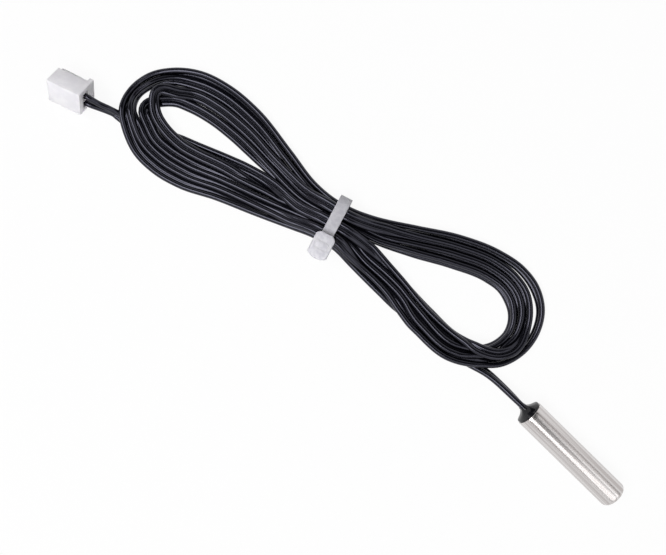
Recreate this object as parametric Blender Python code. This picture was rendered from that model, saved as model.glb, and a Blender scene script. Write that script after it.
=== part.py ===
"""Waterproof bead thermistor probe on a one-metre twin lead.

A steel capsule with a glass bead potted in its tip lies on the surface, its mouth towards -X.
The twin lead leaves the mouth, is folded into a hank held by a cable tie, and ends in a
two-way crimp plug. Metres, +Z up, capsule lying along X.
"""
import math

import bmesh
import bpy
from mathutils import Matrix, Vector

MM = 0.001

# Capsule, a drawn steel tube with one closed end
CAPSULE_LENGTH = 25.0 * MM
CAPSULE_DIAMETER = 6.0 * MM
CAPSULE_WALL = 0.3 * MM
CAPSULE_TIP_ROUND = 0.9 * MM
CAPSULE_RIM_ROUND = 0.1 * MM

# Potting, black epoxy that fills the capsule and climbs the lead in a cone
POTTING_CLEARANCE = 0.08 * MM
POCKET_CLEARANCE = 0.06 * MM
CONE_HEIGHT = 1.8 * MM
CONE_LIP = 0.35 * MM
CONE_RIM_GAP = 0.06 * MM
CONE_COLLAR = 0.16 * MM

# Twin lead: two round cores side by side
CORE_DIAMETER = 1.25 * MM
LEAD_WIDTH = 2.0 * CORE_DIAMETER
CONDUCTOR_DIAMETER = 0.5 * MM
LEAD_EMBED = 6.0 * MM
LEAD_STRAIGHT = 0.3 * MM
CORE_STRAIGHT = 0.3 * MM
CONDUCTOR_BARE = 3.2 * MM

# Sensing bead and its two legs
BEAD_DIAMETER = 2.0 * MM
BEAD_LENGTH = 3.6 * MM
BEAD_TAIL_DIAMETER = 1.3 * MM
BEAD_TO_TIP = 1.5 * MM
LEG_DIAMETER = 0.3 * MM
LEG_SPACING_AT_BEAD = 0.6 * MM
LEG_IN_BEAD = 1.0 * MM
LEG_TAPER_LENGTH = 1.2 * MM
SLEEVE_DIAMETER = 0.8 * MM
SLEEVE_END_GAP = 0.35 * MM
SOLDER_COAT = 0.225 * MM
SOLDER_END_COAT = 0.09 * MM
JOINT_LENGTH = 2.2 * MM
JOINT_GRIP = 0.8 * MM

# Hank of folded lead, in its own frame: origin at the tie, +u along the hank
HANK_PLACE = Vector((-68.9 * MM, -0.3 * MM, 0.0))
HANK_TURN = math.radians(16.8)
HANK_HEIGHT = 3.9 * MM
HANK_ROUND = 1.6 * MM
HANK_LIFT_REACH = 15.0 * MM
WAIST_WIDTH = 9.7 * MM
WAIST_LENGTH = 5.0 * MM

# Cable tie
STRAP_WIDTH = 2.6 * MM
STRAP_THICKNESS = 1.0 * MM
STRAP_CLEARANCE = 0.25 * MM
TOOTH_PITCH = 0.8 * MM
TOOTH_DEPTH = 0.25 * MM
TOOTH_ROOT = 0.2 * MM
HEAD_WIDTH = 4.3 * MM
HEAD_LENGTH = 5.6 * MM
HEAD_HEIGHT = 3.0 * MM
HEAD_NECK_CHAMFER = 0.7 * MM
HEAD_CROWN = 0.7 * MM
HEAD_EDGE_ROUND = 0.3 * MM
HEAD_BELOW_STRAP = 0.1 * MM
HEAD_ROOT = 0.8 * MM
SLOT_CLEARANCE = 0.12 * MM
PAWL_ROOM = 0.45 * MM
PAWL_HEIGHT = 0.9 * MM
PAWL_TOOTH_GAP = 0.07 * MM
PAWL_TOOTH_NUMBER = 2

# Plug housing: X from the mating end to the wire end, Y across the two ways, Z to the flange
HOUSING_LENGTH = 7.5 * MM
HOUSING_WIDTH = 5.9 * MM
HOUSING_THICKNESS = 4.3 * MM
HOUSING_EDGE_ROUND = 0.2 * MM
PITCH = 2.0 * MM
CAVITY_SIZE = 1.75 * MM
FRONT_WALL = 0.7 * MM
PIN_WINDOW = 0.9 * MM
FLANGE_RISE = 1.2 * MM
FLANGE_THICKNESS = 1.1 * MM
RIB_WIDTH = 0.6 * MM
RIB_RISE = 0.45 * MM
LANCE_WINDOW_LENGTH = 2.2 * MM
LANCE_WINDOW_WIDTH = 1.0 * MM
LANCE_WINDOW_START = 2.3 * MM
PLUG_YAW = math.radians(18.2)
PLUG_ROLL = math.radians(34.0)
WIRE_END_PLACE = Vector((-123.9 * MM, -18.15 * MM, 0.0))

# Crimp terminals
TERMINAL_SHEET = 0.13 * MM
TERMINAL_CLEARANCE = 0.1 * MM
TERMINAL_BOX_LENGTH = 3.4 * MM
CRIMP_CLEARANCE = 0.04 * MM
CONDUCTOR_CRIMP_LENGTH = 1.0 * MM
CORE_CRIMP_LENGTH = 1.0 * MM
CRIMP_SPACE = 0.4 * MM
LANCE_RISE = 0.45 * MM
LANCE_LENGTH = 1.1 * MM
LANCE_WIDTH = 0.5 * MM

# Face counts
CAPSULE_SIDES = 48
SMALL_SIDES = 16
CORD_RESOLUTION = 2
ARC_STEPS = 6
LIFT_STEPS = 5
SWELL_STEPS = 6
CONE_STEPS = 7
BEAD_TAIL_STEPS = 5

# Spacing of a cord's points, in its own diameters
CORD_STEP = 2.5

# Places worked out from the sizes above
CAPSULE_RADIUS = CAPSULE_DIAMETER / 2.0
CAPSULE_INNER_ROUND = max(CAPSULE_TIP_ROUND - CAPSULE_WALL, CAPSULE_WALL / 10.0)
BORE_RADIUS = CAPSULE_RADIUS - CAPSULE_WALL
HANK_EDGE = min(HANK_ROUND, 0.45 * HANK_HEIGHT)
TIP_X = (CAPSULE_LENGTH + CONE_HEIGHT) / 2.0
MOUTH_X = TIP_X - CAPSULE_LENGTH
LEAD_END_X = MOUTH_X + LEAD_EMBED
CONDUCTOR_START_X = LEAD_END_X + POCKET_CLEARANCE
CONDUCTOR_END_X = LEAD_END_X + CONDUCTOR_BARE
JOINT_START_X = CONDUCTOR_END_X - JOINT_GRIP
JOINT_END_X = JOINT_START_X + JOINT_LENGTH
LEG_START_X = JOINT_END_X - JOINT_GRIP
BEAD_END_X = TIP_X - CAPSULE_WALL - BEAD_TO_TIP
BEAD_START_X = BEAD_END_X - BEAD_LENGTH
LEG_BEND_X = BEAD_START_X - LEG_TAPER_LENGTH
SLEEVE_START_X = JOINT_END_X + SLEEVE_END_GAP
SLEEVE_END_X = LEG_BEND_X - SLEEVE_END_GAP
WAIST_LIFT = STRAP_THICKNESS + STRAP_CLEARANCE
BUNDLE_TOP_Z = WAIST_LIFT + HANK_HEIGHT
SLOT_Y = -WAIST_WIDTH / 2.0 - STRAP_CLEARANCE - STRAP_THICKNESS / 2.0
HEAD_BOTTOM_Z = BUNDLE_TOP_Z + STRAP_CLEARANCE - HEAD_BELOW_STRAP
HEAD_TOP_Z = HEAD_BOTTOM_Z + HEAD_HEIGHT
HEAD_ROOM_TO_NECK = HEAD_LENGTH / 2.0 - HEAD_ROOT
CORE_CRIMP_X = HOUSING_LENGTH - CORE_CRIMP_LENGTH - CRIMP_SPACE
CORE_START_X = CORE_CRIMP_X - CRIMP_SPACE / 4.0
CONDUCTOR_CRIMP_X = CORE_CRIMP_X - CRIMP_SPACE - CONDUCTOR_CRIMP_LENGTH
FLAT_TO_UPRIGHT = Matrix(((0, 0, 1, 0), (1, 0, 0, 0), (0, 1, 0, 0), (0, 0, 0, 1)))

# The lead's route from the mouth to the hank, chosen along the table
PROBE_LEAD_ROUTE = [
    (-16.2, 0.05, 2.75),
    (-18.6, 0.1, 2.2),
    (-21.0, 0.1, 1.65),
    (-23.1, 0.0, 1.35),
]

# Each core's route from the plug to the hank: the last points, by the hank's left end
PLUG_CORE_ROUTES = [
    [(-121.4, -16.85, 3.9), (-119.8, -16.2, 3.15), (-118.5, -15.75, 2.75)],
    [(-121.1, -17.45, 2.55), (-119.7, -16.75, 1.8), (-118.35, -16.2, 1.4)],
]

# Outer outline of the hank, clockwise from above, in its own frame, without the waist
HANK_LEFT_OUTLINE = [
    (-15.2, -6.2), (-24.6, -7.4), (-32.0, -8.5), (-37.2, -8.5), (-42.4, -7.4), (-46.2, -5.6),
    (-48.9, -3.0), (-51.0, 0.0), (-51.9, 3.6), (-51.2, 7.5), (-48.6, 11.2), (-44.2, 14.1),
    (-37.4, 15.8), (-30.6, 15.5), (-22.3, 13.0), (-12.9, 8.2), (-6.4, 5.7),
]
HANK_RIGHT_OUTLINE = [
    (8.4, 5.7), (17.0, 8.2), (25.8, 10.4), (33.9, 11.3), (40.6, 10.5), (45.1, 8.3), (48.0, 4.6),
    (49.3, -0.6), (48.7, -5.6), (46.7, -9.2), (43.5, -12.0), (39.4, -13.6), (34.3, -13.9),
    (27.3, -12.7), (18.7, -9.8), (10.1, -7.0),
]
LEFT_EYE = [
    (-43.6, 4.9), (-41.2, 6.3), (-35.7, 6.9), (-25.2, 5.3), (-17.2, 2.6), (-27.2, 2.0),
    (-36.4, 1.4), (-40.8, 2.6),
]
RIGHT_EYE = [
    (9.4, 0.0), (19.8, 1.7), (29.3, 3.7), (36.4, 3.7), (41.2, 1.0), (42.6, -3.3), (39.8, -7.6),
    (34.0, -8.7), (24.3, -5.6), (16.0, -2.6),
]


def clear_scene():
    """Take every object out of the scene."""
    for obj in list(bpy.data.objects):
        bpy.data.objects.remove(obj, do_unlink=True)


def finish(name, colour, roughness, metallic=0.0, transmission=0.0):
    """A Principled material of one piece."""
    material = bpy.data.materials.new(name)
    material.use_nodes = True
    shader = material.node_tree.nodes["Principled BSDF"]
    shader.inputs["Base Color"].default_value = (*colour, 1.0)
    shader.inputs["Roughness"].default_value = roughness
    shader.inputs["Metallic"].default_value = metallic
    shader.inputs["Transmission Weight"].default_value = transmission
    return material


def place(obj, name, material, parent=None):
    """Name an object, give it its material and set it in its parent's frame."""
    obj.name = name
    obj.data.name = name
    obj.data.materials.clear()
    obj.data.materials.append(material)
    obj.parent = parent
    return obj


def frame_empty(name, matrix):
    """An empty that carries the frame of one group of pieces."""
    empty = bpy.data.objects.new(name, None)
    empty.matrix_world = matrix
    bpy.context.collection.objects.link(empty)
    return empty


def mesh_object(bm):
    """Turn a bmesh into an object with clean outward faces."""
    bmesh.ops.remove_doubles(bm, verts=bm.verts, dist=1e-8)
    bmesh.ops.recalc_face_normals(bm, faces=bm.faces)
    mesh = bpy.data.meshes.new("shape")
    bm.to_mesh(mesh)
    bm.free()
    obj = bpy.data.objects.new("shape", mesh)
    bpy.context.collection.objects.link(obj)
    return obj


def settled(obj):
    """Replace an object's data with its evaluated mesh, so nothing on it stays live."""
    graph = bpy.context.evaluated_depsgraph_get()
    mesh = bpy.data.meshes.new_from_object(obj.evaluated_get(graph))
    solid = bpy.data.objects.new("shape", mesh)
    bpy.context.collection.objects.link(solid)
    bpy.data.objects.remove(obj, do_unlink=True)
    return solid


def combined(target, tools, operation):
    """Cut the tools out of the target, or join them to it, and remove them."""
    for tool in tools:
        modifier = target.modifiers.new("combine", "BOOLEAN")
        modifier.operation = operation
        modifier.solver = "EXACT"
        modifier.object = tool
        target = settled(target)
        bpy.data.objects.remove(tool, do_unlink=True)
    return target


def smooth_shade(obj, degrees=35.0):
    """Shade round pieces smooth and keep their sharp edges."""
    obj.data.shade_smooth()
    obj.data.set_sharp_from_angle(angle=math.radians(degrees))
    return obj


def arc(centre_x, centre_y, radius, start, end, steps=ARC_STEPS):
    """Points of an arc from one angle to another, in degrees."""
    points = []
    for i in range(steps + 1):
        angle = math.radians(start + (end - start) * i / steps)
        points.append((centre_x + radius * math.cos(angle), centre_y + radius * math.sin(angle)))
    return points


def turned(profile, sides, facet_shift=0.0):
    """Turn an outline of (x, radius) points, which starts and ends on the X axis.

    A facet shift of half a step keeps the edges of a piece off those of the wire inside it.
    """
    bm = bmesh.new()
    shift = math.tau * facet_shift / sides
    verts = [bm.verts.new((x, r * math.cos(shift), r * math.sin(shift))) for x, r in profile]
    edges = [bm.edges.new(pair) for pair in zip(verts, verts[1:])]
    bmesh.ops.spin(
        bm, geom=verts + edges, cent=(0.0, 0.0, 0.0), axis=(1.0, 0.0, 0.0),
        angle=math.tau, steps=sides, use_merge=True,
    )
    return mesh_object(bm)


def rod(start_x, end_x, radius, y=0.0, sides=SMALL_SIDES, facet_shift=0.0):
    """A round bar along X."""
    outline = [(start_x, 0.0), (start_x, radius), (end_x, radius), (end_x, 0.0)]
    solid = turned(outline, sides, facet_shift)
    solid.data.transform(Matrix.Translation((0.0, y, 0.0)))
    return solid


def prism(outline, low, high, matrix=Matrix.Identity(4)):
    """Extrude a flat outline in X and Y from one height to another, then place it."""
    bm = bmesh.new()
    base = bm.faces.new([bm.verts.new((x, y, low)) for x, y in outline])
    grown = bmesh.ops.extrude_face_region(bm, geom=[base])
    tops = [item for item in grown["geom"] if isinstance(item, bmesh.types.BMVert)]
    bmesh.ops.translate(bm, verts=tops, vec=(0.0, 0.0, high - low))
    bmesh.ops.transform(bm, matrix=matrix, verts=bm.verts)
    return mesh_object(bm)


def block(x_range, y_range, z_range):
    """A plain box between two corners."""
    outline = [
        (x_range[0], y_range[0]), (x_range[1], y_range[0]),
        (x_range[1], y_range[1]), (x_range[0], y_range[1]),
    ]
    return prism(outline, z_range[0], z_range[1])


def rounded_edges(obj, width, degrees=30.0):
    """Round an object's sharp edges."""
    modifier = obj.modifiers.new("edges", "BEVEL")
    modifier.width = width
    modifier.segments = 2
    modifier.limit_method = "ANGLE"
    modifier.angle_limit = math.radians(degrees)
    return settled(obj)


def smooth_points(route, spacing):
    """Points at an even spacing along a smooth curve through the route's own points."""
    route = [Vector(point) for point in route]
    ends = [2.0 * route[0] - route[1]] + route + [2.0 * route[-1] - route[-2]]
    fine = []
    for i in range(1, len(ends) - 2):
        a, b, c, d = ends[i - 1], ends[i], ends[i + 1], ends[i + 2]
        for step in range(20):
            t = step / 20.0
            fine.append(
                0.5 * (2.0 * b + (c - a) * t + (2.0 * a - 5.0 * b + 4.0 * c - d) * t * t
                       + (3.0 * b - 3.0 * c + d - a) * t * t * t)
            )
    fine.append(ends[-2])
    length = sum((q - p).length for p, q in zip(fine, fine[1:]))
    count = max(2, round(length / spacing))
    points = [fine[0]]
    walked = 0.0
    for p, q in zip(fine, fine[1:]):
        step = (q - p).length
        while len(points) < count and walked + step >= length * len(points) / count:
            points.append(p.lerp(q, (length * len(points) / count - walked) / step))
        walked += step
    points.append(fine[-1])
    return points


def cord(name, root, route, diameter, material):
    """A stretch of round cord, straight from its root to the route's start, with closed ends."""
    curve = bpy.data.curves.new(name, "CURVE")
    curve.dimensions = "3D"
    curve.bevel_depth = diameter / 2.0
    curve.bevel_resolution = CORD_RESOLUTION
    curve.use_fill_caps = True
    points = [Vector(root)] + smooth_points(route, diameter * CORD_STEP)
    spline = curve.splines.new("POLY")
    spline.points.add(len(points) - 1)
    for spline_point, point in zip(spline.points, points):
        spline_point.co = (*point, 1.0)
    obj = bpy.data.objects.new(name, curve)
    bpy.context.collection.objects.link(obj)
    return place(obj, name, material)


def capsule_shape():
    """The drawn tube: round-cornered closed tip, softened rim."""
    tip, inner, rim = CAPSULE_TIP_ROUND, CAPSULE_INNER_ROUND, CAPSULE_RIM_ROUND
    floor_x = TIP_X - CAPSULE_WALL
    profile = [(TIP_X, 0.0)]
    profile += arc(TIP_X - tip, CAPSULE_RADIUS - tip, tip, 0, 90)
    profile += arc(MOUTH_X + rim, CAPSULE_RADIUS - rim, rim, 90, 180, 2)
    profile += arc(MOUTH_X + rim, BORE_RADIUS + rim, rim, 180, 270, 2)
    profile += arc(floor_x - inner, BORE_RADIUS - inner, inner, 90, 0)
    profile.append((floor_x, 0.0))
    return turned(profile, CAPSULE_SIDES)


def joint_shape(y, grow=0.0):
    """A spindle of solder round the end of a conductor and the end of a leg."""
    inside = CONDUCTOR_DIAMETER / 2.0 + grow
    length = JOINT_LENGTH + 2.0 * grow
    start = JOINT_START_X - grow
    profile = [(start, 0.0)]
    for i in range(SWELL_STEPS + 1):
        share = i / SWELL_STEPS
        coat = SOLDER_END_COAT + (SOLDER_COAT - SOLDER_END_COAT) * math.sin(math.pi * share)
        profile.append((start + length * share, inside + coat))
    profile.append((start + length, 0.0))
    solid = turned(profile, SMALL_SIDES, facet_shift=0.5)
    solid.data.transform(Matrix.Translation((0.0, y, 0.0)))
    return solid


def bead_shape(grow=0.0):
    """The glass bead: a drop with its tail towards the legs."""
    radius = BEAD_DIAMETER / 2.0
    tail = BEAD_TAIL_DIAMETER / 2.0
    nose_x = BEAD_END_X - radius
    profile = [(BEAD_START_X - grow, 0.0), (BEAD_START_X - grow, tail + grow)]
    for i in range(1, BEAD_TAIL_STEPS):
        share = i / BEAD_TAIL_STEPS
        ease = 0.5 - 0.5 * math.cos(math.pi * share)
        x = BEAD_START_X + (nose_x - BEAD_START_X) * share
        profile.append((x, tail + (radius - tail) * ease + grow))
    profile += arc(nose_x, 0.0, radius + grow, 90, 0)
    profile[-1] = (profile[-1][0], 0.0)
    return turned(profile, 2 * SMALL_SIDES, facet_shift=0.5)


def leg_shape(side, grow=0.0):
    """A leg: straight through its sleeve, then in to the bead."""
    far_y = side * CORE_DIAMETER / 2.0
    near_y = side * LEG_SPACING_AT_BEAD / 2.0
    route = [
        (LEG_START_X - grow, far_y),
        (LEG_BEND_X, far_y),
        (BEAD_START_X, near_y),
        (BEAD_START_X + LEG_IN_BEAD + grow, near_y),
    ]
    radius = LEG_DIAMETER / 2.0 + grow
    bm = bmesh.new()
    rings = []
    for x, y in route:
        ring = []
        for i in range(SMALL_SIDES):
            angle = math.tau * i / SMALL_SIDES
            ring.append(bm.verts.new((x, y + radius * math.cos(angle), radius * math.sin(angle))))
        rings.append(ring)
    for low, high in zip(rings, rings[1:]):
        for i in range(SMALL_SIDES):
            j = (i + 1) % SMALL_SIDES
            bm.faces.new((low[i], low[j], high[j], high[i]))
    bm.faces.new(rings[0])
    bm.faces.new(rings[-1])
    return mesh_object(bm)


def conductor_shape(side, grow=0.0):
    """The bare strands between the end of a core and its solder joint."""
    radius = CONDUCTOR_DIAMETER / 2.0 + grow
    return rod(CONDUCTOR_START_X - grow, CONDUCTOR_END_X + grow, radius, side * CORE_DIAMETER / 2.0)


def sleeve_blank(side, grow=0.0):
    """The outside of the insulating sleeve on a leg."""
    radius = SLEEVE_DIAMETER / 2.0 + grow
    y = side * CORE_DIAMETER / 2.0
    return rod(SLEEVE_START_X - grow, SLEEVE_END_X + grow, radius, y, facet_shift=0.5)


def potting_shape():
    """The epoxy fill, with a pocket for every piece that it holds."""
    radius = BORE_RADIUS - POTTING_CLEARANCE
    inner = CAPSULE_INNER_ROUND
    end_x = TIP_X - CAPSULE_WALL - POTTING_CLEARANCE
    collar = LEAD_WIDTH / 2.0 + POCKET_CLEARANCE + CONE_COLLAR
    lip_radius = CAPSULE_RADIUS - CAPSULE_RIM_ROUND
    lip_x = MOUTH_X - CONE_RIM_GAP
    cone_start = lip_x - CONE_LIP
    cone_end = MOUTH_X - CONE_HEIGHT
    profile = [(end_x, 0.0)]
    profile += arc(end_x - inner, radius - inner, inner, 0, 90, 4)
    profile += [(lip_x, radius), (lip_x, lip_radius)]
    for i in range(CONE_STEPS + 1):
        share = i / CONE_STEPS
        x = cone_start + (cone_end - cone_start) * share
        profile.append((x, collar + (lip_radius - collar) * (1.0 - share) ** 2.0))
    profile.append((cone_end, 0.0))
    fill = turned(profile, CAPSULE_SIDES)
    lead_pocket = rod(
        cone_end - CONE_HEIGHT, LEAD_END_X + POCKET_CLEARANCE, LEAD_WIDTH / 2.0 + POCKET_CLEARANCE,
        sides=2 * SMALL_SIDES, facet_shift=0.5,
    )
    pockets = [lead_pocket, bead_shape(POCKET_CLEARANCE)]
    for side in (-1, 1):
        pockets.append(conductor_shape(side, POCKET_CLEARANCE))
        pockets.append(joint_shape(side * CORE_DIAMETER / 2.0, POCKET_CLEARANCE))
        pockets.append(leg_shape(side, POCKET_CLEARANCE))
        pockets.append(sleeve_blank(side, POCKET_CLEARANCE))
    return combined(fill, pockets, "DIFFERENCE")


def build_probe():
    """The capsule, its potting and what the potting holds."""
    axis = frame_empty("probe_axis", Matrix.Translation((0.0, 0.0, CAPSULE_RADIUS)))
    steel = finish("capsule_steel", (0.62, 0.60, 0.59), 0.28, metallic=1.0)
    epoxy = finish("potting_epoxy", (0.008, 0.008, 0.010), 0.12)
    glass = finish("bead_glass", (0.05, 0.03, 0.02), 0.15)
    place(smooth_shade(capsule_shape()), "capsule", steel, axis)
    place(smooth_shade(potting_shape()), "potting", epoxy, axis)
    legs_in_bead = [leg_shape(side, POCKET_CLEARANCE) for side in (-1, 1)]
    bead = combined(bead_shape(), legs_in_bead, "DIFFERENCE")
    place(smooth_shade(bead), "thermistor_bead", glass, axis)
    for number, side in ((1, -1), (2, 1)):
        wire = finish(f"bead_leg_wire_{number}", (0.75, 0.73, 0.70), 0.3, metallic=1.0)
        tube = finish(f"leg_sleeve_film_{number}", (0.55, 0.32, 0.06), 0.4)
        solder = finish(f"solder_{number}", (0.70, 0.70, 0.70), 0.35, metallic=1.0)
        copper = finish(f"probe_strands_{number}", (0.80, 0.42, 0.25), 0.35, metallic=1.0)
        place(smooth_shade(leg_shape(side)), f"bead_leg_{number}", wire, axis)
        sleeve = combined(sleeve_blank(side), [leg_shape(side, POCKET_CLEARANCE)], "DIFFERENCE")
        place(smooth_shade(sleeve), f"leg_sleeve_{number}", tube, axis)
        wires = [conductor_shape(side, POCKET_CLEARANCE), leg_shape(side, POCKET_CLEARANCE)]
        joint = combined(joint_shape(side * CORE_DIAMETER / 2.0), wires, "DIFFERENCE")
        place(smooth_shade(joint), f"solder_joint_{number}", solder, axis)
        place(smooth_shade(conductor_shape(side)), f"probe_conductor_{number}", copper, axis)


def hank_frame():
    """The hank's own frame: origin under the tie, X along the hank."""
    return Matrix.Translation(HANK_PLACE) @ Matrix.Rotation(HANK_TURN, 4, "Z")


def hank_outline():
    """The outer outline in metres, with the straight waist that the tie grips."""
    half_width = WAIST_WIDTH / 2.0
    half_length = WAIST_LENGTH / 2.0
    left = [Vector((u * MM, v * MM)) for u, v in HANK_LEFT_OUTLINE]
    right = [Vector((u * MM, v * MM)) for u, v in HANK_RIGHT_OUTLINE]
    top = [Vector((-half_length, half_width)), Vector((half_length, half_width))]
    bottom = [Vector((half_length, -half_width)), Vector((-half_length, -half_width))]
    return left + top + right + bottom


def hank_shape():
    """The outer form of the folded lead: an outline with two eyes and round edges."""
    curve = bpy.data.curves.new("hank", "CURVE")
    curve.dimensions = "2D"
    curve.fill_mode = "BOTH"
    curve.resolution_u = 2
    curve.bevel_depth = HANK_EDGE
    curve.bevel_resolution = 2
    curve.offset = -HANK_EDGE
    curve.extrude = HANK_HEIGHT / 2.0 - HANK_EDGE
    eyes = [[Vector((u * MM, v * MM)) for u, v in eye] for eye in (LEFT_EYE, RIGHT_EYE)]
    for outline in [hank_outline()] + eyes:
        spline = curve.splines.new("BEZIER")
        spline.use_cyclic_u = True
        spline.bezier_points.add(len(outline) - 1)
        for knot, point in zip(spline.bezier_points, outline):
            knot.co = (*point, 0.0)
            knot.handle_left_type = "AUTO"
            knot.handle_right_type = "AUTO"
    obj = bpy.data.objects.new("hank", curve)
    bpy.context.collection.objects.link(obj)
    solid = settled(obj)
    bm = bmesh.new()
    bm.from_mesh(solid.data)
    bpy.data.objects.remove(solid, do_unlink=True)
    bmesh.ops.remove_doubles(bm, verts=bm.verts, dist=1e-7)
    half_waist = WAIST_LENGTH / 2.0
    slope = HANK_LIFT_REACH - half_waist
    for side in (-1, 1):
        for step in range(LIFT_STEPS + 1):
            cut_x = side * (half_waist + slope * step / LIFT_STEPS)
            bmesh.ops.bisect_plane(
                bm, geom=bm.verts[:] + bm.edges[:] + bm.faces[:], dist=1e-7,
                plane_co=(cut_x, 0.0, 0.0), plane_no=(1.0, 0.0, 0.0),
            )
    for vert in bm.verts:
        share = min(max(abs(vert.co.x) - half_waist, 0.0) / slope, 1.0)
        vert.co.z += HANK_HEIGHT / 2.0 + WAIST_LIFT * (0.5 + 0.5 * math.cos(math.pi * share))
    return mesh_object(bm)


def strap_line():
    """The strap's inner line round the waist, from the neck to the top of the head.

    Each run is (length, radius), in the plane of Y and Z; a radius of 0 is a straight run.
    """
    corner = HANK_EDGE + STRAP_CLEARANCE
    across = WAIST_WIDTH - 2.0 * HANK_EDGE
    upright = HANK_HEIGHT - 2.0 * HANK_EDGE
    quarter = corner * math.pi / 2.0
    rise = HEAD_TOP_Z - (STRAP_THICKNESS + corner)
    root = -SLOT_Y - HEAD_ROOM_TO_NECK
    top_run = WAIST_WIDTH / 2.0 - HANK_EDGE + root
    return [
        (top_run, 0.0), (quarter, corner), (upright, 0.0), (quarter, corner),
        (across, 0.0), (quarter, corner), (rise, 0.0),
    ]


def strap_point(distance, depth):
    """A point on the strap at a distance along its inner line, sunk by a depth into the strap."""
    y = SLOT_Y + HEAD_ROOM_TO_NECK
    z = BUNDLE_TOP_Z + STRAP_CLEARANCE
    heading = 0.0
    for length, radius in strap_line():
        step = min(distance, length)
        turn = step / radius if radius else 0.0
        if radius:
            y += radius * (math.sin(heading + turn) - math.sin(heading))
            z -= radius * (math.cos(heading) - math.cos(heading + turn))
        else:
            y += step * math.cos(heading)
            z -= step * math.sin(heading)
        heading += turn
        distance -= step
        if distance <= 0.0:
            break
    return (y + depth * math.sin(heading), z + depth * math.cos(heading))


def strap_shape():
    """The strap as one flat outline, smooth outside and toothed inside, as wide as the strap."""
    runs = strap_line()
    total = sum(length for length, radius in runs)
    outside = []
    walked = 0.0
    for length, radius in runs:
        steps = ARC_STEPS if radius else 1
        outside += [strap_point(walked + length * i / steps, STRAP_THICKNESS) for i in range(steps)]
        walked += length
    outside.append(strap_point(total, STRAP_THICKNESS))
    tooth_start = sum(length for length, radius in runs[:4])
    inside = [strap_point(walked, 0.0) for walked in strap_stops(runs[:4])]
    for i in range(int((total - tooth_start) / TOOTH_PITCH - 0.5), 0, -1):
        root = total - i * TOOTH_PITCH
        inside.append(strap_point(root - TOOTH_PITCH / 2.0 + TOOTH_ROOT / 2.0, 0.0))
        inside.append(strap_point(root - TOOTH_ROOT / 2.0, TOOTH_DEPTH))
        inside.append(strap_point(root + TOOTH_ROOT / 2.0, TOOTH_DEPTH))
    inside.append(strap_point(total - TOOTH_PITCH / 2.0 + TOOTH_ROOT / 2.0, 0.0))
    inside.append(strap_point(total, 0.0))
    return prism(outside + inside[::-1], -STRAP_WIDTH / 2.0, STRAP_WIDTH / 2.0, FLAT_TO_UPRIGHT)


def strap_stops(runs):
    """Distances along the smooth part of the strap's inner line."""
    stops = []
    walked = 0.0
    for length, radius in runs:
        steps = ARC_STEPS if radius else 1
        stops += [walked + length * i / steps for i in range(steps)]
        walked += length
    return stops


def head_shape():
    """The tie's head: chamfered at the neck, crowned at its end, slotted for the strap."""
    half = HEAD_WIDTH / 2.0
    neck_y = SLOT_Y + HEAD_LENGTH / 2.0
    end_y = SLOT_Y - HEAD_LENGTH / 2.0
    crown_radius = (half ** 2 + HEAD_CROWN ** 2) / (2.0 * HEAD_CROWN)
    crown_reach = math.degrees(math.asin(half / crown_radius))
    outline = arc(0.0, end_y + crown_radius, crown_radius, crown_reach - 90.0, -crown_reach - 90.0, 4)
    outline += [
        (-half, neck_y - HEAD_NECK_CHAMFER), (-half + HEAD_NECK_CHAMFER, neck_y),
        (half - HEAD_NECK_CHAMFER, neck_y), (half, neck_y - HEAD_NECK_CHAMFER),
    ]
    head = rounded_edges(prism(outline, HEAD_BOTTOM_Z, HEAD_TOP_Z), HEAD_EDGE_ROUND)
    slot_half = STRAP_WIDTH / 2.0 + SLOT_CLEARANCE
    outer_wall = SLOT_Y - STRAP_THICKNESS / 2.0 - SLOT_CLEARANCE
    inner_wall = SLOT_Y + STRAP_THICKNESS / 2.0 + PAWL_ROOM
    slot = block(
        (-slot_half, slot_half), (outer_wall, inner_wall),
        (HEAD_BOTTOM_Z - HEAD_HEIGHT, HEAD_TOP_Z + HEAD_HEIGHT),
    )
    head = combined(head, [slot], "DIFFERENCE")
    tooth_z = HEAD_TOP_Z - PAWL_TOOTH_NUMBER * TOOTH_PITCH
    tip_y = SLOT_Y + STRAP_THICKNESS / 2.0 - TOOTH_DEPTH + PAWL_TOOTH_GAP
    foot_z = tooth_z - PAWL_HEIGHT / 2.0
    back_z = tooth_z + PAWL_HEIGHT / 2.0
    wedge = [
        (inner_wall + SLOT_CLEARANCE, foot_z), (inner_wall + SLOT_CLEARANCE, back_z),
        (inner_wall - SLOT_CLEARANCE, back_z), (tip_y, tooth_z), (inner_wall, foot_z),
    ]
    pawl_half = STRAP_WIDTH / 2.0 - SLOT_CLEARANCE
    pawl = prism(wedge, -pawl_half, pawl_half, FLAT_TO_UPRIGHT)
    return combined(head, [pawl], "UNION")


def build_tie(axis):
    """The cable tie: one piece, its strap through its own head."""
    nylon = finish("tie_nylon", (0.72, 0.71, 0.76), 0.45)
    tie = combined(head_shape(), [strap_shape()], "UNION")
    place(smooth_shade(tie), "cable_tie", nylon, axis)


def plug_frame():
    """The plug's own frame: origin at the middle of the mating end, X towards the wire end."""
    half_width = HOUSING_WIDTH / 2.0
    half_thickness = HOUSING_THICKNESS / 2.0 + FLANGE_RISE
    height = half_width * math.cos(PLUG_ROLL) + half_thickness * math.sin(PLUG_ROLL)
    turn = Matrix.Rotation(PLUG_YAW, 4, "Z") @ Matrix.Rotation(-math.pi / 2.0 - PLUG_ROLL, 4, "X")
    front = WIRE_END_PLACE - turn.to_3x3() @ Vector((HOUSING_LENGTH, 0.0, 0.0))
    return Matrix.Translation((front.x, front.y, height)) @ turn


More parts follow.
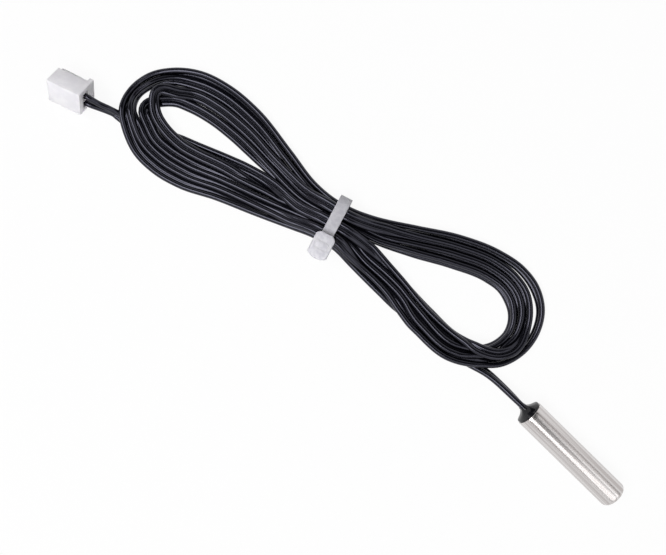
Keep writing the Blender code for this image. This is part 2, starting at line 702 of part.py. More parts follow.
def housing_shape():
    """The moulded housing: two through cavities, lance windows, ribs and a flange."""
    half_width = HOUSING_WIDTH / 2.0
    half_thickness = HOUSING_THICKNESS / 2.0
    body = block((0.0, HOUSING_LENGTH), (-half_width, half_width), (-half_thickness, half_thickness))
    body = rounded_edges(body, HOUSING_EDGE_ROUND)
    flange = block(
        (HOUSING_LENGTH - FLANGE_THICKNESS, HOUSING_LENGTH), (-half_width, half_width),
        (0.0, half_thickness + FLANGE_RISE),
    )
    flange = rounded_edges(flange, HOUSING_EDGE_ROUND)
    additions = [flange]
    for side in (-1, 1):
        outer = side * (half_width - HOUSING_EDGE_ROUND)
        inner = side * (half_width - HOUSING_EDGE_ROUND - RIB_WIDTH)
        additions.append(block(
            (FRONT_WALL, HOUSING_LENGTH - FLANGE_THICKNESS / 2.0), (min(outer, inner), max(outer, inner)),
            (0.0, half_thickness + RIB_RISE),
        ))
    body = combined(body, additions, "UNION")
    cuts = []
    half_cavity = CAVITY_SIZE / 2.0
    half_pin = PIN_WINDOW / 2.0
    half_window = LANCE_WINDOW_WIDTH / 2.0
    for side in (-1, 1):
        y = side * PITCH / 2.0
        cuts.append(block(
            (FRONT_WALL, 2.0 * HOUSING_LENGTH),
            (y - half_cavity, y + half_cavity), (-half_cavity, half_cavity),
        ))
        cuts.append(block(
            (-HOUSING_LENGTH, FRONT_WALL + half_cavity),
            (y - half_pin, y + half_pin), (-half_pin, half_pin),
        ))
        cuts.append(block(
            (LANCE_WINDOW_START, LANCE_WINDOW_START + LANCE_WINDOW_LENGTH),
            (y - half_window, y + half_window), (half_cavity / 2.0, HOUSING_THICKNESS),
        ))
    return combined(body, cuts, "DIFFERENCE")


def terminal_shape(side):
    """A stamped contact: pin box with a locking lance, and two crimped barrels."""
    y = side * PITCH / 2.0
    half_box = CAVITY_SIZE / 2.0 - TERMINAL_CLEARANCE
    box_start = FRONT_WALL + TERMINAL_CLEARANCE
    box_end = box_start + TERMINAL_BOX_LENGTH
    box = block((box_start, box_end), (y - half_box, y + half_box), (-half_box, half_box))
    room = half_box - TERMINAL_SHEET
    through = (box_start - TERMINAL_BOX_LENGTH, box_end + TERMINAL_BOX_LENGTH)
    box = combined(box, [block(through, (y - room, y + room), (-room, room))], "DIFFERENCE")
    conductor_barrel = CONDUCTOR_DIAMETER / 2.0 + CRIMP_CLEARANCE + TERMINAL_SHEET
    core_barrel = CORE_DIAMETER / 2.0 + CRIMP_CLEARANCE + TERMINAL_SHEET
    pieces = []
    for start, length, radius in (
        (CONDUCTOR_CRIMP_X, CONDUCTOR_CRIMP_LENGTH, conductor_barrel),
        (CORE_CRIMP_X, CORE_CRIMP_LENGTH, core_barrel),
    ):
        barrel = rod(start, start + length, radius, y, facet_shift=0.5)
        bore = rod(start - length, start + 2.0 * length, radius - TERMINAL_SHEET, y)
        pieces.append(combined(barrel, [bore], "DIFFERENCE"))
    web = conductor_barrel / 2.0
    pieces.append(block(
        (box_end - TERMINAL_SHEET, CORE_CRIMP_X + TERMINAL_SHEET), (y - web, y + web),
        (-half_box, -half_box + TERMINAL_SHEET),
    ))
    pieces.append(block(
        (CONDUCTOR_CRIMP_X, CONDUCTOR_CRIMP_X + CONDUCTOR_CRIMP_LENGTH), (y - web / 2.0, y + web / 2.0),
        (-half_box, -conductor_barrel + TERMINAL_SHEET / 2.0),
    ))
    lance_root = LANCE_WINDOW_START + (LANCE_WINDOW_LENGTH - LANCE_LENGTH) / 2.0
    lance_tip = lance_root + LANCE_LENGTH
    lance = [
        (lance_root, half_box - TERMINAL_SHEET / 2.0),
        (lance_tip, half_box + LANCE_RISE - TERMINAL_SHEET),
        (lance_tip, half_box + LANCE_RISE),
        (lance_root - TERMINAL_SHEET, half_box - TERMINAL_SHEET / 4.0),
    ]
    upright = Matrix.Translation((0.0, y, 0.0)) @ Matrix.Rotation(math.pi / 2.0, 4, "X")
    pieces.append(prism(lance, -LANCE_WIDTH / 2.0, LANCE_WIDTH / 2.0, upright))
    return combined(box, pieces, "UNION")


def build_plug():
    """The housing, its two terminals and the stripped ends that they grip."""
    frame = plug_frame()
    axis = frame_empty("plug_axis", frame)
    nylon = finish("plug_nylon", (0.80, 0.80, 0.82), 0.4)
    place(smooth_shade(housing_shape()), "plug_housing", nylon, axis)
    conductor = CONDUCTOR_DIAMETER / 2.0
    for number, side in ((1, -1), (2, 1)):
        y = side * PITCH / 2.0
        tin = finish(f"terminal_tin_{number}", (0.72, 0.71, 0.68), 0.3, metallic=1.0)
        copper = finish(f"plug_strands_{number}", (0.80, 0.42, 0.25), 0.35, metallic=1.0)
        pvc = finish(f"core_pvc_{number}", (0.010, 0.010, 0.013), 0.35)
        place(smooth_shade(terminal_shape(side)), f"plug_terminal_{number}", tin, axis)
        strands = rod(CONDUCTOR_CRIMP_X - CRIMP_SPACE / 2.0, CORE_START_X - CRIMP_CLEARANCE, conductor, y)
        place(smooth_shade(strands), f"plug_conductor_{number}", copper, axis)
        root = frame @ Vector((CORE_START_X, y, 0.0))
        route = [frame @ Vector((HOUSING_LENGTH + CORE_STRAIGHT, y, 0.0))]
        route += [Vector(point) * MM for point in PLUG_CORE_ROUTES[number - 1]]
        cord(f"lead_plug_core_{number}", root, route, CORE_DIAMETER, pvc)


def build_lead(axis):
    """The stretch of lead at the probe, and the hank."""
    pvc = finish("hank_pvc", (0.010, 0.010, 0.013), 0.35)
    place(smooth_shade(hank_shape()), "lead_hank", pvc, axis)
    probe_pvc = finish("probe_lead_pvc", (0.010, 0.010, 0.013), 0.35)
    root = Vector((LEAD_END_X, 0.0, CAPSULE_RADIUS))
    route = [Vector((MOUTH_X - CONE_HEIGHT - LEAD_STRAIGHT, 0.0, CAPSULE_RADIUS))]
    route += [Vector(point) * MM for point in PROBE_LEAD_ROUTE]
    cord("lead_to_probe", root, route, LEAD_WIDTH, probe_pvc)


def main():
    clear_scene()
    build_probe()
    axis = frame_empty("hank_axis", hank_frame())
    build_lead(axis)
    build_tie(axis)
    build_plug()


main()
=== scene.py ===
"""Bead thermistor probe: the looks of the packed model.

A steel capsule on a black twin lead, folded in a tied hank and ending in a two-way crimp plug.
The frame is the packed model's own: metres, +Z up, capsule along +X, everything on Z = 0.
"""
import math

import bmesh
import bpy
import numpy as np
from mathutils import Matrix, Vector


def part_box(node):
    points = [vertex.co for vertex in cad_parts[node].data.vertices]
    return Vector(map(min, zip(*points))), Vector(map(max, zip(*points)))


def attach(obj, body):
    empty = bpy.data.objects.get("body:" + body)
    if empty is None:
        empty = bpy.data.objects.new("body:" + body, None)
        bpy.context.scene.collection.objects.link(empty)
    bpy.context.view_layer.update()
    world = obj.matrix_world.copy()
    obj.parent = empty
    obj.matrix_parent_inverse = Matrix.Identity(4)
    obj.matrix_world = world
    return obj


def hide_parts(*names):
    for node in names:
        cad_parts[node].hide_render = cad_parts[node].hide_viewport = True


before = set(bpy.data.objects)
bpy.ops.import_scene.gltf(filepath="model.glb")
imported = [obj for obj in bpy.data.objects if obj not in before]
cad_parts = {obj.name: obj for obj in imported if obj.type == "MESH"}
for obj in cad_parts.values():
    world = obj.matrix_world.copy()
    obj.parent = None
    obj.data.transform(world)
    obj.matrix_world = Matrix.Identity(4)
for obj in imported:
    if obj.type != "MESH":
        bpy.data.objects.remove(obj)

bl_info = {
    "name": "Bead Thermistor Probe",
    "version": (1, 0, 0),
    "blender": (4, 5, 0),
    "location": "View3D > Sidebar > Probe",
    "description": "Dresses the packed probe: folded twin lead, steel capsule, tie, plug and stage",
    "category": "Add Mesh",
}

MM = 0.001

# Sizes that the packed model gives
CAPSULE_LOW, CAPSULE_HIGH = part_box("capsule")
TIP_X = CAPSULE_HIGH.x
MOUTH_X = CAPSULE_LOW.x
AXIS_Z = (CAPSULE_LOW.z + CAPSULE_HIGH.z) / 2.0
CAPSULE_RADIUS = (CAPSULE_HIGH.z - CAPSULE_LOW.z) / 2.0

# The hank's own frame: origin under the tie, +u along the hank, in millimetres
HANK_PLACE = (-68.9, -0.3)
HANK_TURN = math.radians(16.8)

# The plug's own frame, as in the part: X from the mating end to the wire end
PLUG_YAW = math.radians(18.2)
PLUG_ROLL = math.radians(34.0)
PLUG_WIRE_END = (-123.9, -18.15)
PLUG_LENGTH = 7.5
PLUG_WIDTH = 5.9
PLUG_THICKNESS = 4.3
PLUG_FLANGE_RISE = 1.2
PLUG_PITCH = 2.0
PLUG_CORE_ROOT = 6.0
# The split cores run straight from this far inside the wire end to this far outside it
PLUG_CORE_INSIDE = 0.5
PLUG_CORE_OUTSIDE = 0.3
PLUG_CORE_STEP = 0.5

# The lead inside the capsule ends here
LEAD_END_X = -5.6

# The potting's mouth, with the flat lead standing on edge in it
POTTING_CUT_X = -9.0 * MM
POTTING_CONE_X = -12.01 * MM
POTTING_TIP_X = -13.6 * MM
POTTING_LIP = 2.82 * MM
POTTING_SKIN = 0.09 * MM
LEAD_HALF_WIDTH = 0.66 * MM
LEAD_HALF_HEIGHT = 1.285 * MM
POTTING_FLARE = 2.2
POTTING_STEPS = 14
POTTING_SIDES = 96

# How finely the capsule is turned
CAPSULE_SIDES = 128
CAPSULE_BARREL_RINGS = 24
CAPSULE_TIP_STEPS = 10
CAPSULE_RIM_STEPS = 4
CAPSULE_INNER_STEPS = 8

# Edges sharper than this stay sharp in the shading, and a moulded edge past it is rounded
SHARP_ANGLE = math.radians(35.0)
CAPSULE_SHARP_ANGLE = math.radians(40.0)
FLAT_ANGLE = math.radians(0.5)

# Tints that make a finish's darker shade from its colour
STEEL_DARK_TINT = (0.80, 0.77, 0.76)
STEEL_LIGHT_GAIN = 1.12
TIE_DARK_TINT = (0.86, 0.86, 0.88)
PLUG_DARK_TINT = (0.92, 0.92, 0.93)
EPOXY_LIGHT_GAIN = 1.8
# Painted shade: the share of its colour that the thin strap keeps, for the black lead showing through it
STRAP_SHADE = 0.74
SHEATH_REFLECTION_TINT = (0.80, 0.80, 1.0, 1.0)


class LeadSizes(bpy.types.PropertyGroup):
    """Sizes and finish of the twin lead."""
    core_diameter: bpy.props.FloatProperty(
        name="Core diameter", description="Across one insulated core", default=1.29 * MM,
        min=0.5 * MM, max=3.0 * MM, precision=5, subtype="DISTANCE", unit="LENGTH",
    )
    press: bpy.props.FloatProperty(
        name="Press", description="How far neighbouring cores press into each other's soft sheath",
        default=0.045 * MM, min=0.0, max=0.1 * MM, precision=5, subtype="DISTANCE", unit="LENGTH",
    )
    web_thickness: bpy.props.FloatProperty(
        name="Web thickness", description="Of the thin web that joins the two cores",
        default=0.42 * MM, min=0.1 * MM, max=1.0 * MM, precision=5, subtype="DISTANCE", unit="LENGTH",
    )
    step: bpy.props.FloatProperty(
        name="Step", description="Distance between two points of the lead's line",
        default=0.7 * MM, min=0.4 * MM, max=2.0 * MM, precision=5, subtype="DISTANCE", unit="LENGTH",
    )
    rounds: bpy.props.IntProperty(
        name="Settling rounds", description="Rounds in which the passes push each other apart",
        default=400, min=1, max=800,
    )
    colour: bpy.props.FloatVectorProperty(
        name="Colour", description="Of the soft black sheath", default=(0.0012, 0.0012, 0.0022),
        size=3, min=0.0, max=1.0, subtype="COLOR",
    )
    bloom: bpy.props.FloatVectorProperty(
        name="Bloom", description="Of the greyer patches of the sheath", default=(0.0022, 0.0022, 0.0038),
        size=3, min=0.0, max=1.0, subtype="COLOR",
    )


class CapsuleSizes(bpy.types.PropertyGroup):
    """Sizes and finish of the capsule and its potting."""
    wall: bpy.props.FloatProperty(
        name="Wall", description="Thickness of the drawn tube", default=0.3 * MM,
        min=0.1 * MM, max=1.0 * MM, precision=5, subtype="DISTANCE", unit="LENGTH",
    )
    tip_round: bpy.props.FloatProperty(
        name="Tip round", description="Radius of the closed end's corner", default=0.9 * MM,
        min=0.4 * MM, max=2.5 * MM, precision=5, subtype="DISTANCE", unit="LENGTH",
    )
    rim_round: bpy.props.FloatProperty(
        name="Rim round", description="Radius of the deburred rim", default=0.1 * MM,
        min=0.02 * MM, max=0.14 * MM, precision=5, subtype="DISTANCE", unit="LENGTH",
    )
    steel: bpy.props.FloatVectorProperty(
        name="Steel", description="Colour of the steel", default=(0.62, 0.60, 0.595),
        size=3, min=0.0, max=1.0, subtype="COLOR",
    )
    epoxy: bpy.props.FloatVectorProperty(
        name="Epoxy", description="Colour of the potting", default=(0.008, 0.008, 0.010),
        size=3, min=0.0, max=1.0, subtype="COLOR",
    )


class MouldedSizes(bpy.types.PropertyGroup):
    """Finish of the nylon tie and of the plug."""
    edge_round: bpy.props.FloatProperty(
        name="Edge round", description="Softening of the moulded edges", default=0.09 * MM,
        min=0.0, max=0.2 * MM, precision=5, subtype="DISTANCE", unit="LENGTH",
    )
    tie: bpy.props.FloatVectorProperty(
        name="Tie", description="Colour of the cable tie", default=(0.75, 0.74, 0.785),
        size=3, min=0.0, max=1.0, subtype="COLOR",
    )
    plug: bpy.props.FloatVectorProperty(
        name="Plug", description="Colour of the plug's housing", default=(0.93, 0.915, 0.95),
        size=3, min=0.0, max=1.0, subtype="COLOR",
    )


class StageSizes(bpy.types.PropertyGroup):
    """Camera and light."""
    camera_place: bpy.props.FloatVectorProperty(
        name="Camera place", description="Where the camera hangs over the probe",
        default=(-0.06106, -0.00854, 0.153), size=3, subtype="TRANSLATION", unit="LENGTH",
    )
    camera_turn: bpy.props.FloatProperty(
        name="Camera turn", description="Turn of the picture about the vertical",
        default=math.radians(44.42), subtype="ANGLE", unit="ROTATION",
    )
    focal_share: bpy.props.FloatProperty(
        name="Focal share", description="Focal length as a share of the picture's width",
        default=712.5 / 666.0, min=0.3, max=5.0,
    )
    strip_radiance: bpy.props.FloatProperty(
        name="Strip brightness", description="Brightness of the long lamp over the hank",
        default=7.0, min=0.0, max=20.0,
    )
    sky: bpy.props.FloatProperty(
        name="Sky", description="Brightness of the plain grey round the stage", default=0.09,
        min=0.0, max=1.0,
    )


# Shader helpers and shared effects

def new_nodes(material):
    """The node tree of a fresh material, with its shader."""
    material.use_nodes = True
    tree = material.node_tree
    return tree, tree.nodes["Principled BSDF"]


def node(tree, kind, place=(0, 0), **settings):
    """A node of a kind, with its settings."""
    made = tree.nodes.new(kind)
    made.location = place
    for name, value in settings.items():
        setattr(made, name, value)
    return made


def group_socket(tree, name, kind, default=None, in_out="INPUT"):
    """A named socket on a node group."""
    socket = tree.interface.new_socket(name=name, in_out=in_out, socket_type=kind)
    if default is not None:
        socket.default_value = default


def grain_group():
    """Long grain: noise drawn out along one axis, as a mask and as a colour mix."""
    tree = bpy.data.node_groups.new("long_grain", "ShaderNodeTree")
    for name, kind, value in (
        ("Place", "NodeSocketVector", None),
        ("Stretch", "NodeSocketVector", (1.0, 1.0, 1.0)),
        ("Detail", "NodeSocketFloat", 3.0),
        ("Low", "NodeSocketFloat", 0.35),
        ("High", "NodeSocketFloat", 0.65),
        ("Dark Colour", "NodeSocketColor", (0.4, 0.4, 0.4, 1.0)),
        ("Light Colour", "NodeSocketColor", (0.6, 0.6, 0.6, 1.0)),
    ):
        group_socket(tree, name, kind, value)
    group_socket(tree, "Mask", "NodeSocketFloat", in_out="OUTPUT")
    group_socket(tree, "Colour", "NodeSocketColor", in_out="OUTPUT")
    entry = node(tree, "NodeGroupInput", (-800, 0))
    leave = node(tree, "NodeGroupOutput", (600, 0))
    scale = node(tree, "ShaderNodeVectorMath", (-560, 80), operation="MULTIPLY")
    noise = node(tree, "ShaderNodeTexNoise", (-340, 80))
    noise.inputs["Scale"].default_value = 1.0
    spread = node(tree, "ShaderNodeMapRange", (-120, 80), interpolation_type="SMOOTHSTEP")
    mix = node(tree, "ShaderNodeMix", (240, -60), data_type="RGBA")
    link = tree.links.new
    link(entry.outputs["Place"], scale.inputs[0])
    link(entry.outputs["Stretch"], scale.inputs[1])
    link(scale.outputs["Vector"], noise.inputs["Vector"])
    link(entry.outputs["Detail"], noise.inputs["Detail"])
    link(noise.outputs["Fac"], spread.inputs["Value"])
    link(entry.outputs["Low"], spread.inputs["From Min"])
    link(entry.outputs["High"], spread.inputs["From Max"])
    link(spread.outputs["Result"], mix.inputs["Factor"])
    link(entry.outputs["Dark Colour"], mix.inputs[6])
    link(entry.outputs["Light Colour"], mix.inputs[7])
    link(spread.outputs["Result"], leave.inputs["Mask"])
    link(mix.outputs[2], leave.inputs["Colour"])
    return tree


def relief_group():
    """Fine relief: two sizes of noise as one height, with a roughness that follows it."""
    tree = bpy.data.node_groups.new("fine_relief", "ShaderNodeTree")
    for name, kind, value in (
        ("Place", "NodeSocketVector", None),
        ("Coarse Scale", "NodeSocketFloat", 600.0),
        ("Fine Scale", "NodeSocketFloat", 3000.0),
        ("Fine Share", "NodeSocketFloat", 0.4),
        ("Smooth Roughness", "NodeSocketFloat", 0.3),
        ("Rough Roughness", "NodeSocketFloat", 0.5),
    ):
        group_socket(tree, name, kind, value)
    group_socket(tree, "Height", "NodeSocketFloat", in_out="OUTPUT")
    group_socket(tree, "Roughness", "NodeSocketFloat", in_out="OUTPUT")
    entry = node(tree, "NodeGroupInput", (-800, 0))
    leave = node(tree, "NodeGroupOutput", (600, 0))
    coarse = node(tree, "ShaderNodeTexNoise", (-480, 160))
    fine = node(tree, "ShaderNodeTexNoise", (-480, -120))
    blend = node(tree, "ShaderNodeMix", (-160, 40), data_type="FLOAT")
    rough = node(tree, "ShaderNodeMapRange", (160, -120))
    link = tree.links.new
    link(entry.outputs["Place"], coarse.inputs["Vector"])
    link(entry.outputs["Place"], fine.inputs["Vector"])
    link(entry.outputs["Coarse Scale"], coarse.inputs["Scale"])
    link(entry.outputs["Fine Scale"], fine.inputs["Scale"])
    link(entry.outputs["Fine Share"], blend.inputs["Factor"])
    link(coarse.outputs["Fac"], blend.inputs["A"])
    link(fine.outputs["Fac"], blend.inputs["B"])
    link(blend.outputs["Result"], rough.inputs["Value"])
    rough.inputs["From Min"].default_value = 0.3
    rough.inputs["From Max"].default_value = 0.7
    link(entry.outputs["Smooth Roughness"], rough.inputs["To Min"])
    link(entry.outputs["Rough Roughness"], rough.inputs["To Max"])
    link(blend.outputs["Result"], leave.inputs["Height"])
    link(rough.outputs["Result"], leave.inputs["Roughness"])
    return tree


def shared_group(name):
    """A shared shader group, built the first time that it is asked for."""
    makers = {"long_grain": grain_group, "fine_relief": relief_group}
    return bpy.data.node_groups.get(name) or makers[name]()


def use_group(tree, name, place=(0, 0), **values):
    """A shared group placed in a material; underscores stand for spaces in its socket names."""
    used = node(tree, "ShaderNodeGroup", place)
    used.node_tree = shared_group(name)
    for socket, value in values.items():
        used.inputs[socket.replace("_", " ")].default_value = value
    return used


def colour4(values, gain=1.0):
    """Three colour values as four, brightened or darkened."""
    return (*[min(value * gain, 1.0) for value in values], 1.0)


def object_place(tree):
    """Object coordinates."""
    return node(tree, "ShaderNodeTexCoord", (-1100, 0)).outputs["Object"]


def surface(name, dark, light, stretch, relief_scales, roughness, bump, metallic=0.0, place=None,
            specular=0.5):
    """A material whose colour follows a grain, and whose roughness and bump follow a relief.

    The roughness goes from smooth to rough, the bump is its strength and its height in metres, and
    place is the point attribute that the grain follows instead of object coordinates.
    """
    material = bpy.data.materials.new(name)
    tree, shader = new_nodes(material)
    if place is None:
        where = object_place(tree)
    else:
        attribute = node(tree, "ShaderNodeAttribute", (-1100, 0), attribute_name=place)
        where = attribute.outputs["Vector"]
    grain = use_group(
        tree, "long_grain", (-560, 200), Stretch=stretch, Dark_Colour=colour4(dark),
        Light_Colour=colour4(light),
    )
    relief = use_group(
        tree, "fine_relief", (-560, -200), Coarse_Scale=relief_scales[0], Fine_Scale=relief_scales[1],
        Smooth_Roughness=roughness[0], Rough_Roughness=roughness[1],
    )
    raise_up = node(tree, "ShaderNodeBump", (-200, -300))
    raise_up.inputs["Strength"].default_value = bump[0]
    raise_up.inputs["Distance"].default_value = bump[1]
    link = tree.links.new
    link(where, grain.inputs["Place"])
    link(where, relief.inputs["Place"])
    link(grain.outputs["Colour"], shader.inputs["Base Color"])
    link(relief.outputs["Roughness"], shader.inputs["Roughness"])
    link(relief.outputs["Height"], raise_up.inputs["Height"])
    link(raise_up.outputs["Normal"], shader.inputs["Normal"])
    shader.inputs["Metallic"].default_value = metallic
    shader.inputs["Specular IOR Level"].default_value = specular
    return material


# Mesh helpers

def add_object(name, mesh):
    """An object at the origin that shows a mesh."""
    mesh.name = name
    obj = bpy.data.objects.new(name, mesh)
    bpy.context.scene.collection.objects.link(obj)
    return obj


def mesh_from(bm):
    """A mesh with merged corners and outward faces."""
    bmesh.ops.remove_doubles(bm, verts=bm.verts, dist=1e-8)
    bmesh.ops.recalc_face_normals(bm, faces=bm.faces)
    mesh = bpy.data.meshes.new("shape")
    bm.to_mesh(mesh)
    bm.free()
    return mesh


def settled(obj, name):
    """The object with its modifiers worked into its mesh."""
    graph = bpy.context.evaluated_depsgraph_get()
    mesh = bpy.data.meshes.new_from_object(obj.evaluated_get(graph))
    bpy.data.objects.remove(obj, do_unlink=True)
    return add_object(name, mesh)


def set_input(modifier, name, value):
    """Set a named input of a Geometry Nodes modifier by its socket's identifier."""
    for item in modifier.node_group.interface.items_tree:
        if item.item_type == "SOCKET" and item.in_out == "INPUT" and item.name == name:
            modifier[item.identifier] = value
            return
    raise KeyError(name)


def dressed(obj, material, slot, *replaced):
    """Give a piece its material and its body, and hide the nodes that it stands for. Its slot is not used.
    """
    if material is not None:
        obj.data.materials.clear()
        obj.data.materials.append(material)
    if replaced:
        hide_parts(*replaced)
    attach(obj, "root")
    return obj


def repaint(name, material):
    """Give a carried-over node a finished material."""
    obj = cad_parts[name]
    for holder in obj.material_slots:
        holder.link = "OBJECT"
        holder.material = material


# The folded lead

# Rolls are in degrees: 0 and 180 lie flat, 90 stands on edge, and past 90 the outer core is the
# upper one. Heights and insets are in millimetres.
IN_TIE = 1.37
ON_TOP = 3.87
NEAR_TIE = 0.46
ABREAST_CORE = 1.25
ABREAST_EXTRA = 0.08


def abreast(order, *bands, raised=0.0, lift=0.0):
    """Passes side by side from the hank's edge inwards.

    Each band is how many passes it has, the width that they share and the gap before it. The outer
    core is the upper one, and the roll follows from the share, with a little extra width so that
    no slit shows. The result is {pass: (inset, roll, start lift, raised)}.
    """
    passes = {}
    inset = 0.0
    names = iter(order)
    for count, width, gap in bands:
        inset += gap
        share = width / count
        flatness = min(max((share + ABREAST_EXTRA) / ABREAST_CORE - 1.0, 0.0), 1.0)
        for _ in range(count):
            roll = 180.0 - math.degrees(math.acos(flatness))
            passes[next(names)] = (inset + share / 2.0, roll, lift, raised)
            inset += share
    return passes


# Stations along the hank's outer edge, in the direction of travel: the edge's place and the passes
# there, each as inset from the edge, roll, start lift and how far it is raised off the surface. Turn
# a comes from the plug, b, c and d follow it, and e leaves for the probe.
STATIONS = [
    (-33.0, -8.5, {
        "e": (1.15, 155, 0, 0), "d": (3.45, 160, 0, 0), "c": (5.8, 165, 0, 0),
        "b": (8.2, 184, 0.3, 1.3), "a": (9.4, 4, 0, 0),
    }),
    (-25.0, -7.2, {
        "e": (1.05, 140, 0, 0), "d": (3.05, 142, 0, 0), "c": (5.05, 144, 0, 0),
        "b": (7.25, 170, 0.3, 0.9), "a": (8.75, 10, 0, 0),
    }),
    (-15.0, -6.1, {
        "e": (0.8, 115, 0, 0), "d": (2.4, 135, 0, 0.5), "c": (4.1, 110, 0, 0),
        "b": (5.8, 115, 0, 0), "a": (7.5, 20, 0, 0.5),
    }),
    (-7.0, -5.3, {
        "e": (0.75, 95, 0, NEAR_TIE), "d": (2.3, 165, 0, 2.2), "c": (3.3, 92, 0, NEAR_TIE),
        "b": (4.8, 92, 0, NEAR_TIE), "a": (5.05, 10, 0, 2.2),
    }),
    (-2.2, -4.85, {
        "e": (0.75, 90, 0, IN_TIE), "d": (2.1, 180, 0, ON_TOP), "c": (3.1, 90, 0, IN_TIE),
        "b": (4.45, 90, 0, IN_TIE), "a": (4.65, 0, 0, ON_TOP),
    }),
    (2.2, -5.1, {
        "e": (0.75, 90, 0, IN_TIE), "d": (2.3, 180, 0, ON_TOP), "c": (3.35, 90, 0, IN_TIE),
        "b": (4.75, 90, 0, IN_TIE), "a": (4.9, 0, 0, ON_TOP),
    }),
    (7.0, -6.6, {
        "e": (0.75, 92, 0, NEAR_TIE), "d": (2.3, 150, 0, 1.9), "c": (3.1, 90, 0, NEAR_TIE),
        "b": (4.6, 90, 0, NEAR_TIE), "a": (5.5, 25, 0, 1.8),
    }),
    (16.0, -9.1, {
        "e": (0.75, 100, 0, 0), "d": (1.9, 118, 0.6, 0.5), "c": (3.15, 96, 0, 0),
        "b": (4.4, 94, 0, 0), "a": (5.6, 80, 0.6, 0.4),
    }),
    (25.0, -12.3, abreast("dcba", (4, 6.2, 0.1), raised=0.5, lift=1.0)),
    (34.0, -14.4, abreast("dcba", (4, 6.1, 0.0), raised=0.6, lift=1.0)),
    (40.5, -13.3, {
        "d": (1.3, 106, 0, 0.2), "c": (2.7, 106, 0, 0.3), "b": (3.95, 106, 0, 0.2),
        "a": (4.1, 160, 2.4, 2.2),
    }),
    (45.6, -10.4, {
        "d": (0.85, 104, 0, 0), "a": (3.0, 165, 2.6, 2.2), "c": (3.1, 104, 0, 0), "b": (4.8, 104, 0, 0),
    }),
    (48.9, -5.4, {
        "d": (0.85, 100, 0, 0), "a": (2.7, 130, 1.4, 1.0), "c": (4.0, 100, 0, 0), "b": (5.7, 100, 0, 0),
    }),
    (49.6, -0.5, {
        "d": (0.85, 98, 0, 0), "a": (3.15, 108, 0.4, 0.2), "c": (4.75, 100, 0, 0), "b": (6.35, 100, 0, 0),
    }),
    (48.3, 4.5, {
        "d": (0.85, 100, 0, 0), "a": (3.4, 102, 0, 0), "c": (5.15, 104, 0, 0), "b": (6.95, 104, 0, 0),
    }),
    (44.7, 8.6, abreast("dacb", (1, 1.7, 0.1), (3, 5.5, 0.6))),
    (40.0, 10.8, abreast("dacb", (1, 1.65, 0.1), (3, 5.4, 0.45))),
    (34.0, 11.5, abreast("dacb", (1, 1.7, 0.1), (3, 5.5, 0.1))),
    (25.0, 10.4, abreast("dacb", (1, 1.8, 0.0), (3, 5.5, 0.0))),
    (16.0, 7.9, {
        "d": (0.8, 110, 0, 0), "a": (2.5, 130, 0.4, 0.5), "c": (4.1, 114, 0, 0), "b": (5.75, 122, 0, 0),
    }),
    (7.0, 5.5, {
        "d": (0.7, 92, 0, NEAR_TIE), "a": (2.45, 160, 0, 2.0), "c": (3.1, 92, 0, NEAR_TIE),
        "b": (4.6, 112, 0, NEAR_TIE),
    }),
    (2.2, 4.85, {
        "d": (0.75, 90, 0, IN_TIE), "a": (2.25, 180, 0, ON_TOP), "c": (2.5, 90, 0, IN_TIE),
        "b": (3.85, 90, 0, IN_TIE),
    }),
    (-2.2, 4.95, {
        "d": (0.75, 90, 0, IN_TIE), "a": (2.2, 180, 0, ON_TOP), "c": (2.5, 90, 0, IN_TIE),
        "b": (3.85, 90, 0, IN_TIE),
    }),
    (-7.0, 6.0, {
        "d": (0.7, 92, 0, NEAR_TIE), "c": (2.0, 92, 0, NEAR_TIE), "a": (3.05, 165, 0, 2.2),
        "b": (5.1, 100, 0, NEAR_TIE),
    }),
    (-15.0, 9.65, {
        "d": (0.85, 110, 0, 0), "c": (2.4, 116, 0, 0), "a": (4.25, 140, 0, 0.5), "b": (6.3, 125, 0, 0),
    }),
    (-25.0, 14.1, {
        "d": (0.85, 110, 0, 0.1), "c": (2.85, 165, 0, 0), "a": (5.2, 172, 0.4, 0.4), "b": (7.65, 176, 0, 0),
    }),
    (-33.0, 15.9, {
        "d": (0.85, 110, 0, 0), "c": (2.92, 172, 0, 0), "a": (5.42, 176, 0.4, 0.4), "b": (7.95, 180, 0, 0),
    }),
    (-40.0, 15.7, {
        "d": (0.85, 112, 0, 0), "c": (2.92, 172, 0, 0), "a": (5.28, 176, 0.6, 0.5), "b": (7.68, 180, 0, 0),
    }),
    (-45.5, 13.8, {
        "d": (0.95, 102, 0, 0), "c": (2.6, 145, 0, 0), "b": (6.98, 180, 0, 0),
    }),
    (-49.6, 10.4, {
        "d": (0.85, 98, 0, 0), "c": (2.4, 108, 0, 0), "b": (6.5, 155, 0, 0),
    }),
    (-52.1, 5.0, {
        "d": (0.9, 98, 0, 0), "c": (2.2, 100, 0, 0), "b": (5.2, 125, 0, 0),
    }),
    (-51.5, 0.5, {
        "d": (1.2, 118, 1.0, 1.2), "c": (2.75, 108, 1.0, 1.2), "b": (5.35, 150, 1.0, 1.2),
    }),
    (-48.8, -3.4, {
        "d": (1.35, 145, 0.8, 0.7), "c": (3.4, 145, 0.8, 0.9), "b": (5.85, 168, 0.8, 1.2),
    }),
    (-45.0, -6.6, {
        "d": (1.35, 150, 0.2, 0), "c": (3.7, 168, 0.4, 0.3), "b": (6.15, 174, 0.6, 0.9),
    }),
    (-39.5, -8.3, {
        "d": (1.25, 152, 0, 0), "c": (3.65, 170, 0.1, 0), "b": (6.12, 174, 0.4, 0.3),
    }),
]

